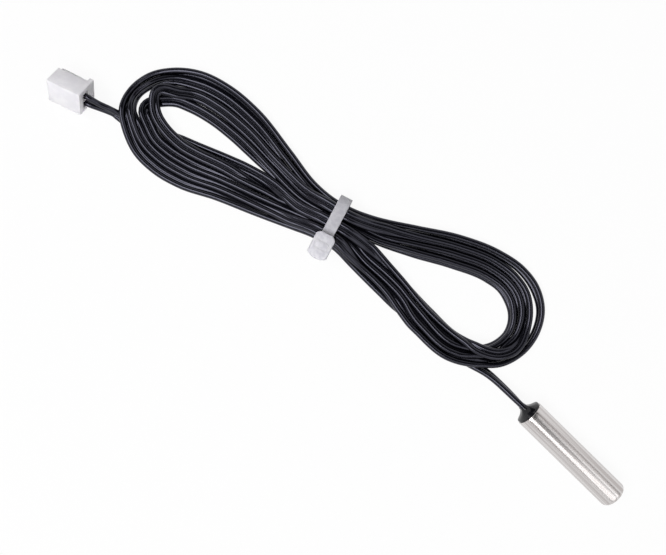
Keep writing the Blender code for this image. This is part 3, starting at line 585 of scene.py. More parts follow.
# Turn a's end is a tight fold over the other passes: u, v, roll, height. It starts after the
# station whose number follows, and starts out lifted.
HAIRPIN = [
    (-42.3, 9.25, 172, 2.0), (-44.2, 8.75, 156, 2.5), (-45.6, 8.0, 126, 2.9), (-46.0, 6.8, 116, 2.9),
    (-45.6, 5.5, 124, 2.8), (-44.8, 4.1, 138, 2.7), (-43.6, 2.8, 150, 2.6), (-42.1, 1.8, 158, 2.5),
    (-40.3, 0.95, 164, 2.4), (-38.3, 0.3, 172, 2.3), (-36.1, -0.2, 180, 2.2),
]
HAIRPIN_AFTER = 27
HAIRPIN_LIFT = 0.4

# The pass from the plug, up to the first station: u, v, height, roll
PLUG_PASS = [
    (-51.94, -0.69, 1.62, 60), (-50.2, -0.85, 1.0, 32), (-48.2, -1.1, 0.70, 10),
    (-45.8, -0.98, 0.63, 0), (-42.0, -0.32, 0.63, 0), (-38.0, 0.5, 0.63, 0),
]

# The pass to the probe, after the tie: u, v, height, roll
PROBE_PASS = [
    (12.6, -7.5, 1.25, 96), (16.0, -8.2, 1.0, 118), (19.0, -8.75, 0.78, 145), (23.0, -9.45, 0.63, 175),
    (32.0, -10.95, 0.63, 180), (37.5, -11.9, 0.75, 155), (41.0, -12.5, 1.1, 118),
]
PROBE_STATIONS = 7

# Its last stretch, in the row frame: x, y, height, roll
PROBE_END = [
    (-23.1, 0.0, 1.35, 110), (-21.0, 0.1, 1.65, 106), (-18.6, 0.1, 2.2, 104), (-16.2, 0.05, 2.75, 100),
    (-13.7, 0.0, 3.0, 90), (-9.0, 0.0, 3.0, 90), (LEAD_END_X, 0.0, 3.0, 90),
]

# The split cores between the plug and the hank, in the row frame
PLUG_CORE_ROUTES = [
    [(-121.4, -16.85, 3.9), (-119.8, -16.2, 3.15)],
    [(-121.1, -17.45, 2.55), (-119.7, -16.75, 1.8)],
]

# Points of the smooth curve between two rows of the route
FINE_STEPS = 24

# The rings that stay where the plug and the potting hold them, and the room inside the tie's loop
HELD_AT_PLUG = 6
HELD_AT_PROBE = 16
TIE_HALF_LENGTH = 1.9
TIE_HALF_WIDTH = 4.95
TIE_FLOOR = 1.12
TIE_CEILING = 5.25

# How the passes settle: each round pulls them towards their route, smooths how far they moved, and
# pushes close ones apart. Past a share of the rounds it pulls and smooths more gently.
LATE_SHARE = 0.8
PULL = (0.03, 0.03, 0.02)
LATE_PULL = 0.15
SMOOTHING = 0.25
LATE_SMOOTHING = 0.08
# Close pairs are looked for every few rounds, up to a reach past touching, and never between rings
# that are neighbours along the lead
PAIRS_EVERY = 8
PAIRS_REACH = 0.9
NEIGHBOUR_RINGS = 5
SPARE_ROOM = 1.005
PUSH_GAIN = 1.3

# The tie's slot and neck in the hank's frame, in millimetres, and how far its mouth reaches
TIE_SLOT_V = -5.6
TIE_NECK_V = -2.8
TIE_NECK_BLEND = 0.6
TIE_MOUTH_HALF = 1.4
TIE_MOUTH_OUT = -0.6
TIE_MOUTH_IN = 0.93

# The strap's trimmed end: its corners lie within this box round the slot, in millimetres
CUT_END_DEPTH = 0.01
CUT_END_HALF_LENGTH = 1.35
CUT_END_HALF_WIDTH = 0.55


def hank_to_row(u, v):
    """A place in the hank's frame as x and y of the row frame, in millimetres."""
    cos, sin = math.cos(HANK_TURN), math.sin(HANK_TURN)
    return (HANK_PLACE[0] + u * cos - v * sin, HANK_PLACE[1] + u * sin + v * cos)


def row_to_hank(points):
    """u and v of points in the row frame, in millimetres."""
    cos, sin = math.cos(HANK_TURN), math.sin(HANK_TURN)
    x = points[:, 0] - HANK_PLACE[0]
    y = points[:, 1] - HANK_PLACE[1]
    return x * cos + y * sin, y * cos - x * sin


def route_rows(radius):
    """The whole lead's route from the plug to the probe: x, y, rest height, roll, start lift."""
    edge = np.array([station[:2] for station in STATIONS])
    along = np.roll(edge, -1, 0) - np.roll(edge, 1, 0)
    along /= np.linalg.norm(along, axis=1)[:, None]
    inward = np.stack([-along[:, 1], along[:, 0]], 1)
    rows = [(*hank_to_row(u, v), height, roll, 0.0) for u, v, height, roll in PLUG_PASS]
    for turn in "abcde":
        last = PROBE_STATIONS if turn == "e" else len(STATIONS)
        for number in range(last):
            if turn == "a" and number > HAIRPIN_AFTER:
                continue
            inset, roll, lift, raised = STATIONS[number][2][turn]
            u, v = edge[number] + inward[number] * inset
            height = radius * (1.0 + abs(math.sin(math.radians(roll)))) + raised
            rows.append((*hank_to_row(u, v), height, roll, lift))
        if turn == "a":
            rows += [(*hank_to_row(u, v), height, roll, HAIRPIN_LIFT) for u, v, roll, height in HAIRPIN]
    rows += [(*hank_to_row(u, v), height, roll, 0.0) for u, v, height, roll in PROBE_PASS]
    rows += [(x, y, height, roll, 0.0) for x, y, height, roll in PROBE_END]
    return np.array(rows)


def smooth_rows(rows, step):
    """A smooth curve through the rows, cut at an even step."""
    ends = np.vstack([2 * rows[0] - rows[1], rows, 2 * rows[-1] - rows[-2]])
    t = np.linspace(0.0, 1.0, FINE_STEPS, endpoint=False)[:, None]
    fine = []
    for i in range(1, len(ends) - 2):
        a, b, c, d = ends[i - 1:i + 3]
        before, here, after = (np.linalg.norm((q - p)[:3]) for p, q in ((a, b), (b, c), (c, d)))
        leave = ((c - b) / here * before + (b - a) / before * here) / (before + here) * here
        arrive = ((d - c) / after * here + (c - b) / here * after) / (here + after) * here
        fine.append(
            (2 * t**3 - 3 * t**2 + 1) * b + (t**3 - 2 * t**2 + t) * leave
            + (3 * t**2 - 2 * t**3) * c + (t**3 - t**2) * arrive
        )
    fine.append(ends[-2][None])
    fine = np.vstack(fine)
    walked = np.concatenate([[0.0], np.cumsum(np.linalg.norm(np.diff(fine[:, :3], axis=0), axis=1))])
    stops = np.linspace(0.0, walked[-1], int(round(walked[-1] / step)) + 1)
    return np.stack([np.interp(stops, walked, column) for column in fine.T], 1)


def both_cores(rows, radius):
    """The two cores' lines: beside the middle line, turned by the roll."""
    middle = rows[:, :3]
    along = np.gradient(middle, axis=0)
    along /= np.linalg.norm(along, axis=1)[:, None]
    side = np.stack([-along[:, 1], along[:, 0], np.zeros(len(along))], 1)
    side /= np.linalg.norm(side, axis=1)[:, None]
    up = np.cross(along, side)
    up *= np.sign(up[:, 2])[:, None]
    roll = np.radians(rows[:, 3])[:, None]
    across = side * np.cos(roll) + up * np.sin(roll)
    return np.stack([middle + across * radius, middle - across * radius])


def close_pairs(points, rings, reach):
    """Pairs of core points nearer than a reach that aren't neighbours along the lead."""
    square = (points ** 2).sum(1)
    gap = square[:, None] + square[None, :] - 2.0 * points @ points.T
    i, j = np.nonzero(np.triu(gap < reach ** 2, 1))
    keep = np.abs(rings[i] - rings[j]) > NEIGHBOUR_RINGS
    return i[keep], j[keep]


def settle(rows, radius, rounds):
    """Let the passes push each other apart, held by the surface and by the tie."""
    diameter = 2.0 * radius
    target = both_cores(rows, radius)
    lifted = rows.copy()
    lifted[:, 2] += rows[:, 4]
    cores = both_cores(lifted, radius)
    count = cores.shape[1]
    rings = np.tile(np.arange(count), 2)
    held = np.zeros(count)
    held[:HELD_AT_PLUG] = 1.0
    held[-HELD_AT_PROBE:] = 1.0
    held = held[None, :, None]
    for turn in range(rounds):
        late = turn > LATE_SHARE * rounds
        if turn % PAIRS_EVERY == 0:
            i, j = close_pairs(cores.reshape(-1, 3), rings, diameter + PAIRS_REACH)
        cores = cores + (target - cores) * np.array(PULL) * (LATE_PULL if late else 1.0)
        moved = cores - target
        for _ in range(1 if late else 2):
            bend = np.zeros_like(moved)
            bend[:, 1:-1] = moved[:, 2:] - 2.0 * moved[:, 1:-1] + moved[:, :-2]
            moved = moved + (LATE_SMOOTHING if late else SMOOTHING) * bend
        cores = target + moved
        for _ in range(2):
            flat = cores.reshape(-1, 3)
            gap = flat[i] - flat[j]
            distance = np.linalg.norm(gap, axis=1)
            short = np.clip(diameter * SPARE_ROOM - distance, 0.0, None)
            hit = short > 0.0
            push = gap[hit] / distance[hit][:, None] * (0.5 * short[hit])[:, None]
            total = np.zeros_like(flat)
            hits = np.zeros(len(flat))
            np.add.at(total, i[hit], push)
            np.add.at(total, j[hit], -push)
            np.add.at(hits, i[hit], 1)
            np.add.at(hits, j[hit], 1)
            flat = flat + total / np.maximum(hits, 1)[:, None] * PUSH_GAIN
            cores = flat.reshape(2, count, 3)
            middle = cores.mean(0)
            across = cores[0] - cores[1]
            across /= np.linalg.norm(across, axis=1)[:, None]
            cores = np.stack([middle + across * radius, middle - across * radius])
            cores[..., 2] = np.maximum(cores[..., 2], radius)
            for core in cores:
                u, v = row_to_hank(core)
                inside = np.abs(u) < TIE_HALF_LENGTH
                room = TIE_HALF_WIDTH - radius
                x, y = hank_to_row(u, np.where(inside, np.clip(v, -room, room), v))
                z = np.clip(core[:, 2], TIE_FLOOR + radius, TIE_CEILING - radius)
                core[:, 0], core[:, 1] = x, y
                core[:, 2] = np.where(inside, z, core[:, 2])
        cores = cores * (1.0 - held) + target * held
    return cores


def plug_matrix():
    """The plug's own frame in metres, as in the part."""
    half_width = PLUG_WIDTH / 2.0
    half_thickness = PLUG_THICKNESS / 2.0 + PLUG_FLANGE_RISE
    height = half_width * math.cos(PLUG_ROLL) + half_thickness * math.sin(PLUG_ROLL)
    turn = Matrix.Rotation(PLUG_YAW, 4, "Z") @ Matrix.Rotation(-math.pi / 2.0 - PLUG_ROLL, 4, "X")
    reach = turn.to_3x3() @ Vector((PLUG_LENGTH, 0.0, 0.0))
    place = Vector((PLUG_WIRE_END[0] - reach.x, PLUG_WIRE_END[1] - reach.y, height)) * MM
    return Matrix.Translation(place) @ turn


def split_core_rows(number, start):
    """One split core's line from its crimp in the plug to where the twin lead starts."""
    side = (-1, 1)[number]
    to_row = plug_matrix()
    in_plug = [
        tuple(to_row @ (Vector((x, side * PLUG_PITCH / 2.0, 0.0)) * MM) / MM)
        for x in (PLUG_CORE_ROOT, PLUG_LENGTH - PLUG_CORE_INSIDE, PLUG_LENGTH + PLUG_CORE_OUTSIDE)
    ]
    points = np.array(in_plug + PLUG_CORE_ROUTES[number] + [tuple(start[0]), tuple(start[1])])
    return smooth_rows(np.hstack([points, np.zeros((len(points), 2))]), PLUG_CORE_STEP)[:, :3]


# A split core is a little thinner than a core of the twin
SPLIT_CORE_SHARE = 0.965


def cord_tree():
    """Geometry Nodes: sweep a twin or a single core along each line of the incoming mesh."""
    tree = bpy.data.node_groups.new("sweep_lead", "GeometryNodeTree")
    tree.is_modifier = True
    for name, kind, value in (
        ("Lines", "NodeSocketGeometry", None),
        ("Core Diameter", "NodeSocketFloat", 1.25 * MM),
        ("Web Thickness", "NodeSocketFloat", 0.42 * MM),
        ("Points Per Core", "NodeSocketInt", 16),
        ("Material", "NodeSocketMaterial", None),
    ):
        group_socket(tree, name, kind, value)
    group_socket(tree, "Lead", "NodeSocketGeometry", in_out="OUTPUT")
    link = tree.links.new
    entry = node(tree, "NodeGroupInput", (-1400, 0))
    leave = node(tree, "NodeGroupOutput", (1600, 0))

    def maths(operation, first, second=None, place=(0, 0)):
        made = node(tree, "ShaderNodeMath", place, operation=operation)
        for socket, value in zip(made.inputs, (first, second)):
            if value is None:
                continue
            if isinstance(value, (int, float)):
                socket.default_value = value
            else:
                link(value, socket)
        return made.outputs[0]

    def named(name, kind):
        made = node(tree, "GeometryNodeInputNamedAttribute", data_type=kind)
        made.inputs["Name"].default_value = name
        return made.outputs["Attribute"]

    def stored(name, kind, geometry, value):
        made = node(tree, "GeometryNodeStoreNamedAttribute", data_type=kind, domain="POINT")
        made.inputs["Name"].default_value = name
        link(geometry, made.inputs["Geometry"])
        link(value, made.inputs["Value"])
        return made.outputs[0]

    diameter = entry.outputs["Core Diameter"]
    radius = maths("MULTIPLY", diameter, 0.5)
    per_core = entry.outputs["Points Per Core"]
    # The twin's outline: an arc round each core, with the web's corners between them
    index = node(tree, "GeometryNodeInputIndex").outputs[0]
    second = maths("GREATER_THAN", index, maths("SUBTRACT", per_core, 0.5))
    sign = maths("SUBTRACT", 1.0, maths("MULTIPLY", second, 2.0))
    step = maths("SUBTRACT", index, maths("MULTIPLY", second, per_core))
    share = maths("DIVIDE", step, maths("SUBTRACT", per_core, 1.0))
    corner = maths("ARCSINE", maths("DIVIDE", entry.outputs["Web Thickness"], diameter))
    reach = maths("SUBTRACT", math.pi, corner)
    angle = maths("MULTIPLY", maths("SUBTRACT", maths("MULTIPLY", share, 2.0), 1.0), reach)
    x = maths("MULTIPLY", maths("MULTIPLY", maths("ADD", maths("COSINE", angle), 1.0), radius), sign)
    y = maths("MULTIPLY", maths("MULTIPLY", maths("SINE", angle), radius), sign)
    place = node(tree, "ShaderNodeCombineXYZ")
    link(x, place.inputs[0])
    link(y, place.inputs[1])
    ring = node(tree, "GeometryNodeCurvePrimitiveCircle", mode="RADIUS")
    link(maths("MULTIPLY", per_core, 2.0), ring.inputs["Resolution"])
    shaped = node(tree, "GeometryNodeSetPosition")
    link(ring.outputs["Curve"], shaped.inputs["Geometry"])
    link(place.outputs[0], shaped.inputs["Position"])
    single = node(tree, "GeometryNodeCurvePrimitiveCircle", mode="RADIUS")
    link(per_core, single.inputs["Resolution"])
    link(maths("MULTIPLY", radius, SPLIT_CORE_SHARE), single.inputs["Radius"])
    # Each line becomes a curve whose normal points across the two cores
    split = node(tree, "GeometryNodeSeparateGeometry", domain="POINT")
    link(entry.outputs["Lines"], split.inputs["Geometry"])
    link(maths("GREATER_THAN", named("twin", "FLOAT"), 0.5), split.inputs["Selection"])
    across = named("across", "FLOAT_VECTOR")
    length = node(tree, "GeometryNodeSplineParameter").outputs["Length"]
    position = node(tree, "GeometryNodeInputPosition").outputs[0]
    joined = node(tree, "GeometryNodeJoinGeometry")
    for lines, profile in (
        (split.outputs["Selection"], shaped.outputs["Geometry"]),
        (split.outputs["Inverted"], single.outputs["Curve"]),
    ):
        curve = node(tree, "GeometryNodeMeshToCurve")
        link(lines, curve.inputs[0])
        normal = node(tree, "GeometryNodeSetCurveNormal", mode="FREE")
        link(curve.outputs[0], normal.inputs["Curve"])
        link(across, normal.inputs["Normal"])
        sweep = node(tree, "GeometryNodeCurveToMesh")
        link(stored("walked", "FLOAT", normal.outputs[0], length), sweep.inputs["Curve"])
        link(stored("section", "FLOAT_VECTOR", profile, position), sweep.inputs["Profile Curve"])
        sweep.inputs["Fill Caps"].default_value = True
        link(sweep.outputs[0], joined.inputs[0])
    # Where each point would be if the lead lay straight, for grain that follows it
    parts = node(tree, "ShaderNodeSeparateXYZ")
    link(named("section", "FLOAT_VECTOR"), parts.inputs[0])
    straight = node(tree, "ShaderNodeCombineXYZ")
    link(named("walked", "FLOAT"), straight.inputs[0])
    link(parts.outputs[0], straight.inputs[1])
    link(parts.outputs[1], straight.inputs[2])
    smooth = node(tree, "GeometryNodeSetShadeSmooth")
    placed = stored("straight_place", "FLOAT_VECTOR", joined.outputs[0], straight.outputs[0])
    link(placed, smooth.inputs["Geometry"])
    real = node(tree, "GeometryNodeRealizeInstances")
    link(smooth.outputs[0], real.inputs[0])
    paint = node(tree, "GeometryNodeSetMaterial")
    link(real.outputs[0], paint.inputs["Geometry"])
    link(entry.outputs["Material"], paint.inputs["Material"])
    link(paint.outputs[0], leave.inputs[0])
    return tree


def line_mesh(lines):
    """A mesh of open lines: each is (points in millimetres, across vectors, whether it is twin)."""
    places, edges, across, twin = [], [], [], []
    for points, sideways, is_twin in lines:
        first = len(places)
        places += [tuple(point * MM) for point in points]
        edges += [(first + i, first + i + 1) for i in range(len(points) - 1)]
        across += [tuple(vector) for vector in sideways]
        twin += [1.0 if is_twin else 0.0] * len(points)
    mesh = bpy.data.meshes.new("lead_lines")
    mesh.from_pydata(places, edges, [])
    mesh.attributes.new("across", "FLOAT_VECTOR", "POINT").data.foreach_set("vector", np.ravel(across))
    mesh.attributes.new("twin", "FLOAT", "POINT").data.foreach_set("value", twin)
    return mesh


def lead_material(sizes):
    """Soft black PVC: greyer bloom and fine drawing lines along the lead."""
    material = surface(
        "black_pvc", sizes.colour, sizes.bloom, stretch=(60.0, 900.0, 900.0),
        relief_scales=(500.0, 2600.0), roughness=(0.16, 0.21), bump=(0.02, 0.02 * MM),
        place="straight_place",
    )
    shader = material.node_tree.nodes["Principled BSDF"]
    shader.inputs["Specular Tint"].default_value = SHEATH_REFLECTION_TINT
    return material


class PROBE_OT_build_lead(bpy.types.Operator):
    """Fold the twin lead into its hank and sweep its two cores along it"""
    bl_idname = "probe.build_lead"
    bl_label = "Build Lead"
    bl_options = {"REGISTER", "UNDO"}

    def execute(self, context):
        sizes = context.scene.probe_lead
        radius = (sizes.core_diameter - sizes.press) / MM / 2.0
        rows = smooth_rows(route_rows(radius), sizes.step / MM)
        cores = settle(rows, radius, sizes.rounds)
        middle = cores.mean(0)
        sideways = (cores[0] - cores[1]) / (2.0 * radius)
        lines = [(middle, sideways, True)]
        splits = []
        for number in (0, 1):
            line = split_core_rows(number, cores[number][:2])
            lines.append((line, np.tile(sideways[0], (len(line), 1)), False))
            splits.append(line)
        obj = add_object("twin_lead", line_mesh(lines))
        modifier = obj.modifiers.new("sweep", "NODES")
        modifier.node_group = cord_tree()
        set_input(modifier, "Core Diameter", sizes.core_diameter)
        set_input(modifier, "Web Thickness", sizes.web_thickness)
        set_input(modifier, "Material", lead_material(sizes))
        obj = settled(obj, "twin_lead")
        for name in ("walked", "section"):
            obj.data.attributes.remove(obj.data.attributes[name])
        dressed(
            obj, None, "black_pvc",
            "lead_to_probe", "lead_hank", "lead_plug_core_1", "lead_plug_core_2",
        )
        # The middle of the split cores, without their last two points, which lie in the twin
        stop = min(len(line) for line in splits) - 2
        between = (splits[0][:stop] + splits[1][:stop]) / 2.0
        path = np.vstack([middle[::-1], between[::-1]]) * MM
        context.scene["lead_path"] = [float(value) for value in path.ravel()]
        return {"FINISHED"}


def turned_mesh(profile, sides):
    """Turn an outline of (x, radius) points about the capsule's axis."""
    bm = bmesh.new()
    rings = []
    for x, r in profile:
        if r < 1e-9:
            rings.append([bm.verts.new((x, 0.0, AXIS_Z))])
            continue
        ring = []
        for i in range(sides):
            angle = math.tau * i / sides
            ring.append(bm.verts.new((x, r * math.cos(angle), AXIS_Z + r * math.sin(angle))))
        rings.append(ring)
    for low, high in zip(rings, rings[1:]):
        for i in range(sides):
            corners = []
            for corner in (low[i % len(low)], low[(i + 1) % len(low)],
                           high[(i + 1) % len(high)], high[i % len(high)]):
                if corner not in corners:
                    corners.append(corner)
            bm.faces.new(corners)
    return mesh_from(bm)


def arc(centre_x, centre_r, radius, start, end, steps):
    """Points of an arc from one angle to another, in degrees."""
    points = []
    for i in range(steps + 1):
        angle = math.radians(start + (end - start) * i / steps)
        points.append((centre_x + radius * math.cos(angle), centre_r + radius * math.sin(angle)))
    return points


def steel_material(sizes):
    """Drawn steel with fine streaks along the capsule."""
    material = bpy.data.materials.new("capsule_steel")
    tree, shader = new_nodes(material)
    where = object_place(tree)
    dark = colour4([value * tint for value, tint in zip(sizes.steel, STEEL_DARK_TINT)])
    streaks = use_group(
        tree, "long_grain", (-560, 300), Stretch=(14.0, 1500.0, 1500.0), Low=0.38, High=0.60,
        Dark_Colour=dark, Light_Colour=colour4(sizes.steel, STEEL_LIGHT_GAIN),
    )
    fine = use_group(
        tree, "long_grain", (-560, -40), Stretch=(22.0, 1500.0, 1500.0), Low=0.3, High=0.7,
    )
    rough = node(tree, "ShaderNodeMapRange", (-260, -60))
    rough.inputs["To Min"].default_value = 0.21
    rough.inputs["To Max"].default_value = 0.25
    link = tree.links.new
    link(where, streaks.inputs["Place"])
    link(where, fine.inputs["Place"])
    link(streaks.outputs["Colour"], shader.inputs["Base Color"])
    link(fine.outputs["Mask"], rough.inputs["Value"])
    link(rough.outputs["Result"], shader.inputs["Roughness"])
    shader.inputs["Metallic"].default_value = 1.0
    return material


class PROBE_OT_build_capsule(bpy.types.Operator):
    """Turn the steel capsule with its closed round-cornered tip"""
    bl_idname = "probe.build_capsule"
    bl_label = "Build Capsule"
    bl_options = {"REGISTER", "UNDO"}

    def execute(self, context):
        sizes = context.scene.probe_capsule
        tip, rim, wall = sizes.tip_round, sizes.rim_round, sizes.wall
        bore = CAPSULE_RADIUS - wall
        inner = max(tip - wall, wall / 10.0)
        floor_x = TIP_X - wall
        profile = [(TIP_X, 0.0)]
        profile += arc(TIP_X - tip, CAPSULE_RADIUS - tip, tip, 0, 90, CAPSULE_TIP_STEPS)
        barrel = MOUTH_X + rim - TIP_X + tip
        for i in range(1, CAPSULE_BARREL_RINGS):
            profile.append((TIP_X - tip + barrel * i / CAPSULE_BARREL_RINGS, CAPSULE_RADIUS))
        profile += arc(MOUTH_X + rim, CAPSULE_RADIUS - rim, rim, 90, 180, CAPSULE_RIM_STEPS)
        profile += arc(MOUTH_X + rim, bore + rim, rim, 180, 270, CAPSULE_RIM_STEPS)
        profile += arc(floor_x - inner, bore - inner, inner, 90, 0, CAPSULE_INNER_STEPS)
        profile.append((floor_x, 0.0))
        obj = add_object("steel_capsule", turned_mesh(profile, CAPSULE_SIDES))
        obj.data.shade_smooth()
        obj.data.set_sharp_from_angle(angle=CAPSULE_SHARP_ANGLE)
        dressed(obj, steel_material(sizes), "capsule_steel", "capsule")
        return {"FINISHED"}


def oval_radius(angle, half_width, half_height):
    """How far an upright stadium's edge lies from its middle in a direction."""
    if half_height <= half_width:
        return half_width
    rise = half_height - half_width
    across = abs(math.cos(angle))
    if across > 1e-9 and half_width / across * abs(math.sin(angle)) <= rise:
        return half_width / across
    return rise * abs(math.sin(angle)) + math.sqrt(half_width ** 2 - (rise * across) ** 2)


def oval_ring(bm, x, half_width, half_height):
    """A ring of points round the capsule's axis, upright and oval."""
    ring = []
    for step in range(POTTING_SIDES):
        angle = 2.0 * math.pi * step / POTTING_SIDES
        radius = oval_radius(angle, half_width, half_height)
        ring.append(bm.verts.new((x, radius * math.cos(angle), AXIS_Z + radius * math.sin(angle))))
    return ring


def bridge(bm, ring, other):
    """Faces between two rings of the same count."""
    count = len(ring)
    for step in range(count):
        after = (step + 1) % count
        bm.faces.new((ring[step], ring[after], other[after], other[step]))


def potting_mesh():
    """The packed potting's inner half, with a mouth that is drawn down close round the flat lead."""
    bm = bmesh.new()
    bm.from_mesh(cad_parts["potting"].data)
    bmesh.ops.remove_doubles(bm, verts=bm.verts, dist=1e-7)
    bmesh.ops.bisect_plane(
        bm, geom=bm.verts[:] + bm.edges[:] + bm.faces[:], plane_co=(POTTING_CUT_X, 0.0, 0.0),
        plane_no=(1.0, 0.0, 0.0), clear_inner=True,
    )
    outer_rim, inner_rim = [], []
    for edge in bm.edges:
        if edge.is_boundary:
            middle = (edge.verts[0].co + edge.verts[1].co) / 2.0
            is_outer = math.hypot(middle.y, middle.z - AXIS_Z) > CAPSULE_RADIUS / 2.0
            (outer_rim if is_outer else inner_rim).append(edge)
    half_width, half_height = LEAD_HALF_WIDTH, LEAD_HALF_HEIGHT
    fill = max(math.hypot(v.co.y, v.co.z - AXIS_Z) for edge in outer_rim for v in edge.verts)
    outline = [
        (POTTING_CUT_X, fill, fill), (MOUTH_X, fill, fill),
        (MOUTH_X, POTTING_LIP, POTTING_LIP), (POTTING_CONE_X, POTTING_LIP, POTTING_LIP),
    ]
    for step in range(1, POTTING_STEPS + 1):
        share = step / POTTING_STEPS
        swell = (1.0 - share) ** POTTING_FLARE
        outline.append((
            POTTING_CONE_X + (POTTING_TIP_X - POTTING_CONE_X) * share,
            half_width + POTTING_SKIN + (POTTING_LIP - half_width - POTTING_SKIN) * swell,
            half_height + POTTING_SKIN + (POTTING_LIP - half_height - POTTING_SKIN) * swell,
        ))
    outline += [(POTTING_TIP_X, half_width, half_height), (POTTING_CUT_X, half_width, half_height)]
    rings = [oval_ring(bm, *row) for row in outline]
    for ring, other in zip(rings, rings[1:]):
        bridge(bm, ring, other)
    for edges, ring in ((outer_rim, rings[0]), (inner_rim, rings[-1])):
        loop = [bm.edges.get((ring[i], ring[(i + 1) % len(ring)])) for i in range(len(ring))]
        bmesh.ops.bridge_loops(bm, edges=edges + loop)
    bmesh.ops.recalc_face_normals(bm, faces=bm.faces)
    return mesh_from(bm)


class PROBE_OT_build_potting(bpy.types.Operator):
    """Draw the potting down round the lead and give the epoxy its gloss"""
    bl_idname = "probe.build_potting"
    bl_label = "Build Potting"
    bl_options = {"REGISTER", "UNDO"}

    def execute(self, context):
        sizes = context.scene.probe_capsule
        epoxy = surface(
            "black_epoxy", sizes.epoxy, [value * EPOXY_LIGHT_GAIN for value in sizes.epoxy],
            stretch=(300.0, 300.0, 300.0), relief_scales=(350.0, 1500.0), roughness=(0.06, 0.14),
            bump=(0.25, 0.05 * MM), specular=0.3,
        )
        obj = add_object("epoxy_potting", potting_mesh())
        obj.data.shade_smooth()
        obj.data.set_sharp_from_angle(angle=SHARP_ANGLE)
        dressed(obj, epoxy, "black_epoxy", "potting")
        return {"FINISHED"}


def spread_cut_end(bm):
    """Spread the strap's trimmed end, so that it fills the slot's mouth as a cut end does."""
    top = max(vert.co.z for vert in bm.verts)
    u, v = row_to_hank(np.array([vert.co[:2] for vert in bm.verts]) / MM)
    for vert, along, across in zip(bm.verts[:], u, v - TIE_SLOT_V):
        in_reach = abs(along) < CUT_END_HALF_LENGTH and abs(across) < CUT_END_HALF_WIDTH
        if in_reach and top - vert.co.z < CUT_END_DEPTH * MM:
            spread = TIE_MOUTH_OUT if across < 0.0 else TIE_MOUTH_IN
            corner = hank_to_row(math.copysign(TIE_MOUTH_HALF, along), TIE_SLOT_V + spread)
            vert.co.xy = [value * MM for value in corner]


def softened(source, name, width, reshape=None):
    """A merged copy of a node's mesh, reshaped if need be, with its sharp edges softened."""
    bm = bmesh.new()
    bm.from_mesh(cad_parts[source].data)
    bmesh.ops.remove_doubles(bm, verts=bm.verts, dist=1e-7)
    if reshape:
        reshape(bm)
    bmesh.ops.dissolve_limit(
        bm, angle_limit=FLAT_ANGLE, verts=bm.verts[:], edges=bm.edges[:], use_dissolve_boundaries=False,
    )
    obj = add_object(name, mesh_from(bm))
    obj.data.materials.clear()
    bevel = obj.modifiers.new("edges", "BEVEL")
    bevel.width = width
    bevel.segments = 3
    bevel.limit_method = "ANGLE"
    bevel.angle_limit = SHARP_ANGLE
    bevel.harden_normals = False
    obj = settled(obj, name)
    obj.data.shade_smooth()
    obj.data.set_sharp_from_angle(angle=SHARP_ANGLE)
    return obj


def nylon_material(name, colour, shade, patch, scatter):
    """Natural moulded nylon: cloudy, a little see-through, with a soft skin."""
    material = surface(
        name, [value * tint for value, tint in zip(colour, shade)], colour,
        stretch=(patch, patch, patch), relief_scales=(900.0, 4000.0), roughness=(0.34, 0.48),
        bump=(0.15, 0.02 * MM),
    )
    shader = material.node_tree.nodes["Principled BSDF"]
    shader.inputs["Subsurface Weight"].default_value = scatter
    shader.inputs["Subsurface Radius"].default_value = (1.0, 0.95, 1.0)
    shader.inputs["Subsurface Scale"].default_value = 0.6 * MM
    return material


def shade_thin_strap(obj, material, share):
    """Painted shade: darken the thin strap's colour against the solid head, for the black lead that would
    show through it.
    """
    v = row_to_hank(np.array([vert.co[:2] for vert in obj.data.vertices]) / MM)[1]
    # 1 on the solid head and 0 on the strap, which gets the painted shade
    solid = np.clip((TIE_NECK_V + TIE_NECK_BLEND / 2.0 - v) / TIE_NECK_BLEND, 0.0, 1.0)
    obj.data.attributes.new("solid", "FLOAT", "POINT").data.foreach_set("value", solid)
    tree = material.node_tree
    shader = tree.nodes["Principled BSDF"]
    colour = shader.inputs["Base Color"].links[0].from_socket
    solid_here = node(tree, "ShaderNodeAttribute", (-560, 420), attribute_name="solid")
    level = node(tree, "ShaderNodeMapRange", (-360, 420))
    level.inputs["To Min"].default_value = share
    level.inputs["To Max"].default_value = 1.0
    shaded = node(tree, "ShaderNodeVectorMath", (-160, 300), operation="SCALE")
    link = tree.links.new
    link(solid_here.outputs["Fac"], level.inputs["Value"])
    link(colour, shaded.inputs[0])
    link(level.outputs["Result"], shaded.inputs["Scale"])
    link(shaded.outputs["Vector"], shader.inputs["Base Color"])


class PROBE_OT_build_tie(bpy.types.Operator):
    """Soften and cloud the cable tie"""
    bl_idname = "probe.build_tie"
    bl_label = "Build Cable Tie"
    bl_options = {"REGISTER", "UNDO"}

    def execute(self, context):
        sizes = context.scene.probe_moulded
        obj = softened("cable_tie", "nylon_tie", sizes.edge_round, spread_cut_end)
        nylon = nylon_material("tie_nylon", sizes.tie, TIE_DARK_TINT, patch=1100.0, scatter=0.25)
        # Painted shade on the thin strap, where the black lead would show through
        shade_thin_strap(obj, nylon, STRAP_SHADE)
        dressed(obj, nylon, "tie_nylon", "cable_tie")
        return {"FINISHED"}


